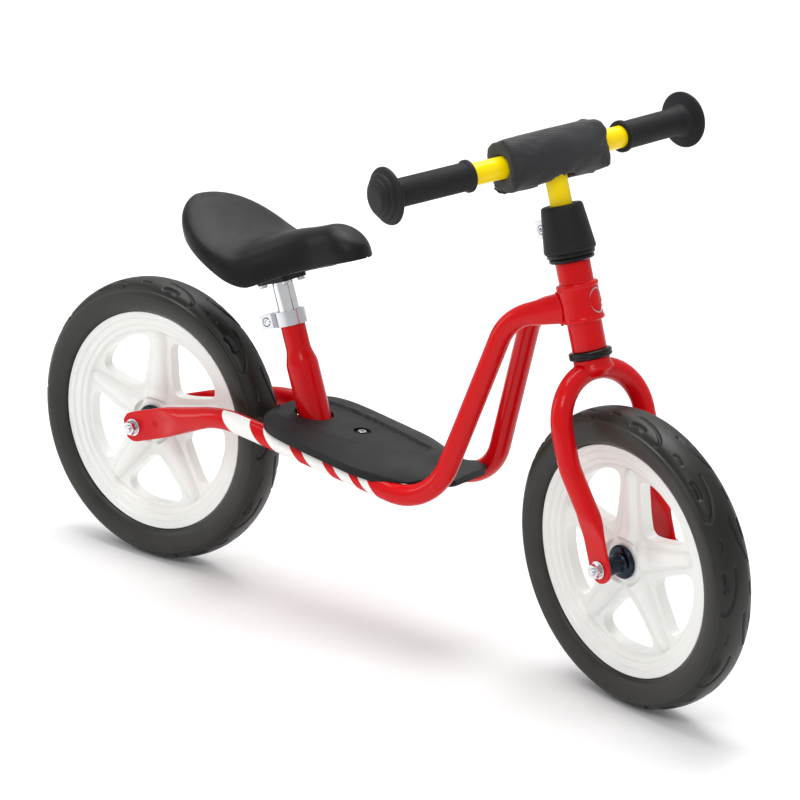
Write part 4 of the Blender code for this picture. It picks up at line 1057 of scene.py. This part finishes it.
def puff(obj, cap, free, voxel):
    """Swell a closed padded piece with a short cloth run, no point moving beyond `cap`."""
    remesh = obj.modifiers.new("remesh", "REMESH")
    remesh.mode = "VOXEL"
    remesh.voxel_size = voxel
    bake(obj)
    rest = np.empty(len(obj.data.vertices) * 3)
    obj.data.vertices.foreach_get("co", rest)
    cloth = obj.modifiers.new("swell", "CLOTH")
    cloth.settings.use_pressure = True
    cloth.settings.uniform_pressure_force = SWELL_PRESSURE
    cloth.settings.effector_weights.gravity = 0.0
    cloth.settings.tension_stiffness = 25.0
    cloth.settings.compression_stiffness = 25.0
    cloth.settings.bending_stiffness = 0.4
    cloth.point_cache.frame_end = SWELL_FRAMES
    scene = bpy.context.scene
    for number in range(1, SWELL_FRAMES + 1):
        scene.frame_set(number)
    graph = bpy.context.evaluated_depsgraph_get()
    moved_mesh = obj.evaluated_get(graph).to_mesh()
    moved = np.empty(len(moved_mesh.vertices) * 3)
    moved_mesh.vertices.foreach_get("co", moved)
    obj.evaluated_get(graph).to_mesh_clear()
    obj.modifiers.clear()
    scene.frame_set(1)
    shift = (moved - rest).reshape(-1, 3)
    length = np.linalg.norm(shift, axis=1)
    shift *= np.minimum(1.0, cap / np.maximum(length, 1e-9))[:, None]
    shift *= free(rest.reshape(-1, 3))[:, None]
    obj.data.vertices.foreach_set("co", (rest.reshape(-1, 3) + shift).ravel())
    obj.data.polygons.foreach_set("use_smooth", [True] * len(obj.data.polygons))
    obj.data.update()


def pad_radius(angle, run):
    """Rolled pad outline: tall and square-shouldered, with puckers and flared ends."""
    power, deep, tall = PAD_SHAPE
    square = (abs(math.cos(angle)) / deep) ** power + (abs(math.sin(angle)) / tall) ** power
    away = math.atan2(math.sin(angle - PAD_SEAM), math.cos(angle - PAD_SEAM))
    pinch = 0.0020 * math.exp(-(away / 0.14) ** 2)
    end = smooth_step((abs(run) - PAD_HALF + 0.014) / 0.013)
    pucker = 0.0007 * math.sin(5 * angle + 90 * run) + 0.0004 * math.sin(9 * angle - 160 * run)
    return square ** (-1 / power) - pinch + pucker * (0.35 + end) + 0.0007 * end


def handlebar_pad(fabric):
    """Foam pad rolled round the bar in woven cloth, with a seam behind and a stem notch."""
    steps, count = 44, 90
    outer = []
    inner = []
    turn = [2 * math.pi * j / count for j in range(count)]
    for k in range(steps + 1):
        run = mix(-PAD_HALF, PAD_HALF, k / steps)
        centre = bar_point(run)
        reach = 0.0078
        if abs(run) < reach:
            centre.x = -(reach / 2 + run * run / (2 * reach)) * math.sin(BAR_SWEEP)
        front = bar_front(run)
        spokes = [front * math.cos(a) + UPWARD * math.sin(a) for a in turn]
        outer.append([centre + spoke * pad_radius(a, run) for a, spoke in zip(turn, spokes)])
        inner.append([centre + spoke * PAD_BORE_R for spoke in spokes])
    verts, faces = skin(outer + inner[::-1] + [outer[0]], (False, False))
    pad = piece("rolled_pad", verts, faces, fabric, "handlebar", ["handlebar_pad"],
                "pad_fabric", STEERED, sharp=80)
    bm = bmesh.new()
    bm.from_mesh(pad.data)
    bmesh.ops.remove_doubles(bm, verts=bm.verts, dist=1e-6)
    bmesh.ops.recalc_face_normals(bm, faces=bm.faces)
    bm.to_mesh(pad.data)
    bm.free()
    notch_low = BAR_HEIGHT - 0.035
    corners = [(-0.0150, -0.0150, 0), (0.0155, -0.0150, 0), (0.0155, 0.0150, 0),
               (-0.0150, 0.0150, 0)]
    outline = [(p.x, p.y) for p in round_corners(corners, [0.006] * 4, 8)]
    cutter = helper("stem_notch", *prism(outline, notch_low, BAR_HEIGHT + 0.001), STEERED)
    boolean(pad, cutter, "DIFFERENCE")
    puff(pad, PAD_SWELL, clear_of_bar, PAD_VOXEL)


def pad_flap(fabric):
    """The closing flap: a thin strip of cloth with wavy edges along the pad's lower back."""
    steps, count = 60, 26
    for side, word in SIDES:
        rings = []
        for k in range(steps + 1):
            run = side * mix(0.0185, PAD_HALF - 0.0005, k / steps)
            centre = bar_point(run)
            front = bar_front(run)
            start = math.radians(222 + 2.0 * math.sin(run * 210))
            end = math.radians(262 + 3.0 * math.sin(run * 170 + 1))
            loop = []
            for j in range(count):
                inward = j >= count // 2
                t = j / (count // 2 - 1) if not inward else (count - 1 - j) / (count // 2 - 1)
                angle = mix(start, end, t)
                lift = FLAP_LIFT + 0.0008 * t * t
                radius = pad_radius(angle, run) + (lift if not inward else lift - FLAP_THICKNESS)
                spoke = front * math.cos(angle) + UPWARD * math.sin(angle)
                loop.append(centre + spoke * radius)
            rings.append(loop)
        piece("pad_flap_" + word, *skin(rings), fabric, "handlebar", (), "pad_fabric", STEERED,
              sharp=60)


# ---- wheels ------------------------------------------------------------------------------------
WINDOW_INNER = 0.0400
WINDOW_OUTER = 0.0915
SPOKE_HALF_INNER = 0.0185
SPOKE_HALF_OUTER = 0.0125
WEB_HALF = 0.0062                       # half thickness between the raised parts
RIDGE_HALF_INNER = 0.0135
RIDGE_HALF_OUTER = 0.0072
RIDGE_RISE_INNER = 0.0066
RIDGE_RISE_OUTER = 0.0050
BEAD_SEAT_HALF = 0.0128                 # half width of the tyre's seat


def window_outline(middle):
    """A window between two spokes: a keystone with generously rounded corners."""
    power, count = 4.2, 96
    centre = (WINDOW_INNER + WINDOW_OUTER) / 2
    half_height = (WINDOW_OUTER - WINDOW_INNER) / 2
    points = []
    for k in range(count):
        turn = 2 * math.pi * k / count
        c, sn = math.cos(turn), math.sin(turn)
        radius = centre + bulge(c, 2 / power) * half_height
        spoke = mix(SPOKE_HALF_INNER, SPOKE_HALF_OUTER,
                    (radius - WINDOW_INNER) / (WINDOW_OUTER - WINDOW_INNER))
        reach = math.pi / SPOKES - math.asin(spoke / radius)
        angle = middle + bulge(sn, 2 / power) * reach
        points.append((radius * math.cos(angle), radius * math.sin(angle)))
    return points


def rim_height(radius, angle):
    """Height of the wheel's face above its middle plane, as arrays."""
    height = np.full_like(radius, WEB_HALF)
    hub = 0.0130 - 0.0030 * ease((radius - 0.0200) / 0.0040)
    height = np.where(radius < 0.0240, hub, height)
    collar = 0.0100 - (0.0100 - WEB_HALF) * ease((radius - 0.0250) / 0.0100)
    height = np.where((radius >= 0.0240), np.maximum(height, collar), height)
    sector = 2 * math.pi / SPOKES
    from_up = angle + math.pi / 2
    off = (from_up + sector / 2) % sector - sector / 2
    across = radius * np.sin(off)
    along = (radius - 0.024) / (0.094 - 0.024)
    along = np.clip(along, 0, 1)
    half = mix(RIDGE_HALF_INNER, RIDGE_HALF_OUTER, along ** 0.8)
    rise = mix(RIDGE_RISE_INNER, RIDGE_RISE_OUTER, along)
    tip = np.clip((radius - 0.0860) / 0.0090, 0, 1)
    spread_q = np.clip(np.hypot(across / half, tip), 0, 1)
    dome = (1 - spread_q ** 2.4) ** 0.75 * ease((radius - 0.0215) / 0.0045)
    height = height + rise * dome * (np.abs(off) < 0.6)
    ledge = 0.0046 * ease((radius - 0.0935) / 0.0040) + 0.0020 * ease((radius - 0.1010) / 0.0016)
    ledge += 0.0022 * ease((radius - 0.1085) / 0.0018)
    lip = 0.0010 * ease((radius - 0.1140) / 0.0010)
    spread = np.maximum(height, WEB_HALF + ledge + lip)
    return np.where(radius > 0.088, spread, height)


def rim(label, place, plastic):
    """Moulded five-spoke wheel with tapered ridges on its spokes and a stepped rim."""
    around = 440
    radii = np.concatenate([np.linspace(0.0113, 0.0250, 14), np.linspace(0.0256, 0.0925, 46),
                            np.linspace(0.0932, RIM_R - 0.0004, 44)])
    angles = 2 * math.pi * np.arange(around) / around
    grid_r, grid_a = np.meshgrid(radii, angles, indexing="ij")
    height = rim_height(grid_r, grid_a)
    x = (grid_r * np.cos(grid_a)).ravel()
    y = (grid_r * np.sin(grid_a)).ravel()
    rows = len(radii)
    verts = np.concatenate([np.stack([x, y, height.ravel()], 1),
                            np.stack([x, y, -height.ravel()], 1)]).tolist()
    faces = []
    offset = rows * around
    for row in range(rows - 1):
        for k in range(around):
            n = (k + 1) % around
            here = row * around
            corners = (here + k, here + n, here + around + n, here + around + k)
            faces.append(corners)
            faces.append(tuple(offset + corner for corner in reversed(corners)))
    edge = [(RIM_R, RIM_HALF_WIDTH - 0.0010), (RIM_R, BEAD_SEAT_HALF),
            (RIM_BED_R, BEAD_SEAT_HALF), (RIM_BED_R, -BEAD_SEAT_HALF),
            (RIM_R, -BEAD_SEAT_HALF), (RIM_R, -RIM_HALF_WIDTH + 0.0010)]
    last = (rows - 1) * around
    strips = [[last + k for k in range(around)]]
    for radius, level in edge:
        start = len(verts)
        verts += [(radius * math.cos(a), radius * math.sin(a), level) for a in angles]
        strips.append(list(range(start, start + around)))
    strips.append([offset + last + k for k in range(around)])
    for upper, lower in zip(strips, strips[1:]):
        for k in range(around):
            n = (k + 1) % around
            faces.append((upper[k], upper[n], lower[n], lower[k]))
    for k in range(around):
        n = (k + 1) % around
        faces.append((k, offset + k, offset + n, n))
    wheel = piece(label + "_spoked_wheel", verts, faces, plastic, label + "_wheel",
                  [label + "_rim"], "white_plastic", place, sharp=50)
    tool_verts = []
    tool_faces = []
    for k in range(SPOKES):
        middle = -math.pi / 2 + math.pi / SPOKES + 2 * math.pi * k / SPOKES
        more_verts, more_faces = prism(window_outline(middle), -0.03, 0.03)
        tool_faces += [[index + len(tool_verts) for index in face] for face in more_faces]
        tool_verts += more_verts
    boolean(wheel, helper("window_cutter", tool_verts, tool_faces, place), "DIFFERENCE", 45)


AXLE_NUT_FLATS = 0.0128
AXLE_STUB = 0.0115                      # axle beyond the frame
TREAD_PITCH = 10                        # groove groups round the tyre
SHOULDER_RUN = 0.0235                   # middle of the tread to its shoulder, along the skin


def curve_points(controls, count):
    """Points on a Bezier curve with the given controls."""
    controls = np.array(controls, float)
    t = np.linspace(0, 1, count)[:, None]
    n = len(controls) - 1
    weights = [math.comb(n, k) * (1 - t) ** (n - k) * t ** k for k in range(n + 1)]
    return sum(w * c for w, c in zip(weights, controls))


def groove_depth(along, across, curve, half_width, depth):
    """How deep a groove along `curve` cuts at each point."""
    gap = np.full(along.shape, 1.0)
    for px, py in curve:
        gap = np.minimum(gap, np.hypot(along - px, across - py))
    return depth * ease((half_width - gap) / (half_width * 0.55))


def tyre_profile():
    """Half outline from the rim edge round the shoulder to the middle of the tread."""
    knots = [(0.1134, 0.0120), (0.1167, 0.0128), (0.1172, 0.0168), (0.1192, 0.0196),
             (0.1230, 0.0216), (0.1290, 0.0233), (0.1345, 0.0236), (0.1382, 0.0232),
             (0.1404, 0.0222), (0.1408, 0.0214), (0.1402, 0.0204), (0.1410, 0.0197),
             (0.1434, 0.0188), (0.1454, 0.0170), (0.1473, 0.0142), (0.1487, 0.0108),
             (0.1495, 0.0070), (0.1500, 0.0030), (0.1500, 0.0)]
    result = []
    for a, b in zip(knots, knots[1:]):
        pieces = max(1, int(math.hypot(b[0] - a[0], b[1] - a[1]) / 0.0009))
        result += [(mix(a[0], b[0], k / pieces), mix(a[1], b[1], k / pieces))
                   for k in range(pieces)]
    return result + [knots[-1]]


def tyre(label, place, foam):
    """Foam tyre with long hooked grooves, short slots and a crisp shoulder."""
    around = 840
    half = tyre_profile()
    line = np.array(half + [(r, -h) for r, h in reversed(half[:-1])])
    for _ in range(2):
        line[1:-1] = (line[:-2] + 2 * line[1:-1] + line[2:]) / 4
    tangent = np.gradient(line, axis=0)
    normal = np.stack([-tangent[:, 1], tangent[:, 0]], 1)
    normal /= np.linalg.norm(normal, axis=1)[:, None]
    middle = len(half) - 1
    if normal[middle, 0] < 0:
        normal = -normal
    steps = np.hypot(*np.diff(line, axis=0).T)
    run = np.concatenate([[0.0], np.cumsum(steps)])
    run -= run[middle]
    angles = 2 * math.pi * np.arange(around) / around
    length = 2 * math.pi * WHEEL_RADIUS
    pitch = length / TREAD_PITCH
    along, across = np.meshgrid(angles / (2 * math.pi) * length, run, indexing="xy")
    cut = np.zeros(along.shape)
    hook = curve_points([(0.008, 0.0040), (0.028, 0.0030), (0.052, 0.0105), (0.058, 0.0185),
                         (0.050, 0.0200)], 60)
    slot = curve_points([(0.012, 0.0158), (0.020, 0.0138), (0.028, 0.0158)], 24)
    sliver = curve_points([(0.073, 0.0130), (0.078, 0.0110), (0.085, 0.0135)], 20)
    for side in (-1, 1):
        local = (along + (0.0 if side < 0 else pitch / 2)) % pitch
        away = across * side
        cut = np.maximum(cut, groove_depth(local, away, hook, 0.0019, 0.0016))
        cut = np.maximum(cut, groove_depth(local, away, slot, 0.0032, 0.0022))
        cut = np.maximum(cut, groove_depth(local, away, sliver, 0.0016, 0.0013))
    radius = line[:, 0][:, None] - normal[:, 0][:, None] * cut
    level = line[:, 1][:, None] - normal[:, 1][:, None] * cut
    radius = np.minimum(radius, WHEEL_RADIUS)
    x = radius * np.cos(angles)[None, :]
    y = radius * np.sin(angles)[None, :]
    verts = np.stack([x, y, level], 2).reshape(-1, 3).tolist()
    rows = len(line)
    faces = []
    for row in range(rows):
        nxt = (row + 1) % rows
        for k in range(around):
            n = (k + 1) % around
            faces.append((row * around + k, row * around + n, nxt * around + n, nxt * around + k))
    skin_piece = piece(label + "_foam_tyre", verts, faces, foam, label + "_wheel",
                       [label + "_tyre"], "tyre_foam", place, sharp=60)
    # Darker tread band, plus painted shade in each groove by its depth.
    mask = np.repeat(ease((SHOULDER_RUN - np.abs(run)) / 0.0010), around)
    mask += 0.8 * (cut / cut.max()).ravel()
    layer = skin_piece.data.attributes.new("tread_band_and_groove_shade", "FLOAT", "POINT")
    layer.data.foreach_set("value", mask.astype(np.float32))


def axle_group(label, place, body, zinc, steel):
    """Axle with a spacer, a washer and a nut on each side."""
    leg_outer = AXLE_HALF_WIDTH + DROPOUT_THICKNESS
    tip = leg_outer + AXLE_STUB
    turned(label + "_spindle", rod_profile(AXLE_R - 0.0001, -tip, tip), zinc, body,
           [label + "_axle"], "zinc", place, 0.0012, 48)
    for side, word in SIDES:
        face = place if side > 0 else place @ Matrix.Rotation(math.pi, 4, "X")
        bore = AXLE_R + GAP
        turned(f"{label}_spacer_{word}", [
            (bore, HUB_HALF_WIDTH + GAP), (0.0160, HUB_HALF_WIDTH + GAP),
            (0.0170, HUB_HALF_WIDTH + 0.0013), (0.0170, HUB_HALF_WIDTH + 0.0040),
            (0.0150, HUB_HALF_WIDTH + 0.0060), (0.0112, HUB_HALF_WIDTH + 0.0065),
            (0.0095, HUB_HALF_WIDTH + 0.0085), (0.0095, AXLE_HALF_WIDTH - 0.0060),
            (0.0088, AXLE_HALF_WIDTH - 0.0055), (0.0088, AXLE_HALF_WIDTH - GAP),
            (bore, AXLE_HALF_WIDTH - GAP)],
            steel, body, [f"{label}_hub_spacer_{word}"], "black_steel", face, 0.0006)
        turned(f"{label}_plain_washer_{word}",
               tube_profile(0.0090, bore, leg_outer + 0.0001, leg_outer + 0.0020), zinc, body,
               [f"{label}_washer_{word}"], "zinc", face, 0.0004)
        hex_nut(f"{label}_nut_{word}", f"{label}_axle_nut_{word}", AXLE_NUT_FLATS,
                leg_outer + 0.0022, leg_outer + 0.0085, AXLE_R, zinc, body, face)


# ---- studio ---------------------------------------------------------------------------------------
CAMERA_PLACE = Vector((2.2457, -3.0514, 1.4730))
CAMERA_TARGET = Vector((0.0091, 0.0, 0.2414))
CAMERA_ROLL = math.radians(-2.89)
CAMERA_LENS = 179.74                    # on a 36 mm sensor


def camera():
    data = bpy.data.cameras.new("studio_camera")
    data.lens = CAMERA_LENS
    data.sensor_width = 36.0
    data.clip_end = 30.0
    obj = bpy.data.objects.new("studio_camera", data)
    bpy.context.scene.collection.objects.link(obj)
    aim = (CAMERA_TARGET - CAMERA_PLACE).to_track_quat("-Z", "Y").to_matrix().to_4x4()
    obj.matrix_world = (Matrix.Translation(CAMERA_PLACE) @ aim
                        @ Matrix.Rotation(-CAMERA_ROLL, 4, "Z"))
    bpy.context.scene.camera = obj


def light(name, place, target, size, power):
    data = bpy.data.lights.new(name, "AREA")
    data.shape = "RECTANGLE"
    data.size, data.size_y = size
    data.energy = power
    obj = bpy.data.objects.new(name, data)
    obj.location = place
    obj.rotation_euler = (Vector(target) - Vector(place)).to_track_quat("-Z", "Y").to_euler()
    bpy.context.scene.collection.objects.link(obj)


def studio():
    """A pale floor that curves up behind the bike, white air and four soft lights."""
    mat, shader, coords, node, link = material("pale_floor")
    cloud = noise(node, coords, 0.8)
    link(mix_colour(node, cloud, (0.93, 0.93, 0.93, 1), (0.95, 0.95, 0.95, 1)),
         shader.inputs["Base Color"])
    shader.inputs["Roughness"].default_value = 0.65
    shader.inputs["Specular IOR Level"].default_value = 0.2
    size = 14.0
    rings = []
    for y, z in ([(-size, 0.0)] + [(size / 2 + 2.0 * math.sin(a), 2.0 - 2.0 * math.cos(a))
                                   for a in (math.pi / 2 * k / 10 for k in range(11))]
                 + [(size / 2 + 2.0, 9.0)]):
        rings.append([(-size, y, z - 0.0001), (size, y, z - 0.0001)])
    verts, faces = skin(rings, (False, False), closed=False)
    floor = piece("studio_floor", verts, faces, mat, None, sharp=80)
    world = bpy.data.worlds.new("studio")
    world.use_nodes = True
    background = world.node_tree.nodes["Background"]
    background.inputs["Color"].default_value = (1.0, 1.0, 1.0, 1.0)
    background.inputs["Strength"].default_value = 0.60
    bpy.context.scene.world = world
    light("key", (1.2, -2.6, 3.0), (0.0, 0.0, 0.2), (1.6, 1.0), 26.0)
    light("top", (-0.4, 0.2, 3.2), (0.0, 0.0, 0.2), (2.6, 1.6), 70.0)
    light("back", (-1.6, 2.4, 3.4), (-1.6, 2.4, 0.0), (3.4, 3.0), 55.0)
    light("side", (-3.0, -1.6, 1.2), (0.0, 0.0, 0.3), (0.6, 1.8), 12.0)
    bpy.context.scene.view_settings.view_transform = "Standard"


# ---- assembly ---------------------------------------------------------------------------------------
def build():
    """Every material, every finer piece, and a look for the CAD pieces that stay."""
    red = gloss_paint("red_gloss", rgb(206, 4, 14), rgb(196, 2, 11))
    red_striped = gloss_paint("red_gloss_striped", rgb(206, 4, 14), rgb(196, 2, 11), tube_stripes)
    yellow = gloss_paint("yellow_gloss", rgb(255, 222, 0), rgb(255, 214, 0))
    plastic = moulded_plastic("black_moulding", rgb(17, 17, 18), rgb(30, 30, 31),
                              grain=1400.0, depth=0.0004, rough=0.52)
    rubber = moulded_plastic("grip_rubber", rgb(23, 24, 26), rgb(36, 37, 39),
                             grain=900.0, depth=0.0003, rough=0.58)
    zinc = metal("zinc_plate", rgb(218, 220, 224), rough=0.22, brush=0.03)
    chrome = metal("chrome_plate", rgb(235, 236, 238), rough=0.07, brush=0.02)
    steel = metal("blued_steel", rgb(44, 52, 62), rough=0.26, brush=0.05)
    gloss_black = moulded_plastic("gloss_black", rgb(14, 14, 15), rgb(20, 20, 21),
                                  grain=500.0, depth=0.0001, rough=0.24)
    white = white_moulding()
    foam = tyre_foam()
    skin_grain = saddle_skin()
    fabric = pad_fabric()

    frame_tubes(red_striped)
    head_tube(red, zinc)
    seat_tube(red)
    footboard(plastic)
    place = Matrix.Translation((BOARD_SCREW_X, 0.0, BOARD_SCREW_SEAT + GAP))
    socket_screw("board_screw_head", "footboard_screw", head_r=0.0045, head_h=0.0030,
                 shank_r=0.0028, length=0.0260, mat=zinc, body="frame", matrix=place)
    split_clamp("seat_clamp", inner=POST_R + 0.0020, outer=0.0160, ear_end=0.0330,
                ear_half=0.0092, bolt_x=0.0255, low=SEAT_CLAMP_BOTTOM, high=SEAT_CLAMP_TOP,
                mat=zinc, body="frame", matrix=SEAT)
    turned("chrome_post", tube_profile(POST_R, POST_R - 0.0016, -0.015, SADDLE_HEIGHT - GAP),
           chrome, "seat", ["seat_post"], "chrome", SEAT)
    saddle(skin_grain)
    headset(gloss_black, gloss_black)
    fork(red)
    split_clamp("stem_clamp", inner=STEERER_R + GAP, outer=0.0172, ear_end=0.0345,
                ear_half=0.0085, bolt_x=0.0272, low=CLAMP_BOTTOM + 0.0045,
                high=CLAMP_TOP - 0.0060, mat=zinc, body="steering", matrix=STEERED)
    stem_shroud(plastic)
    handlebar(yellow)
    handlebar_pad(fabric)
    pad_flap(fabric)
    for side, word in SIDES:
        grip(word, side, rubber)
    for label, place, body in (("front", FRONT_WHEEL, "steering"), ("rear", REAR_WHEEL, "frame")):
        rim(label, place, white)
        tyre(label, place, foam)
        axle_group(label, place, body, zinc, steel)
    # hidden pieces keep their CAD shape; those not named here are plated
    kept = {"seat_bridge": red, "board_bridge": red, "lower_bearing_bush": plastic,
            "upper_bearing_bush": plastic, "saddle_bracket": gloss_black, "saddle_base": plastic}
    for name, node_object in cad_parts.items():
        look = kept.get(name, zinc)
        if node_object.data.materials:
            node_object.material_slots[0].material = look
        else:
            node_object.data.materials.append(look)


build()
studio()
camera()
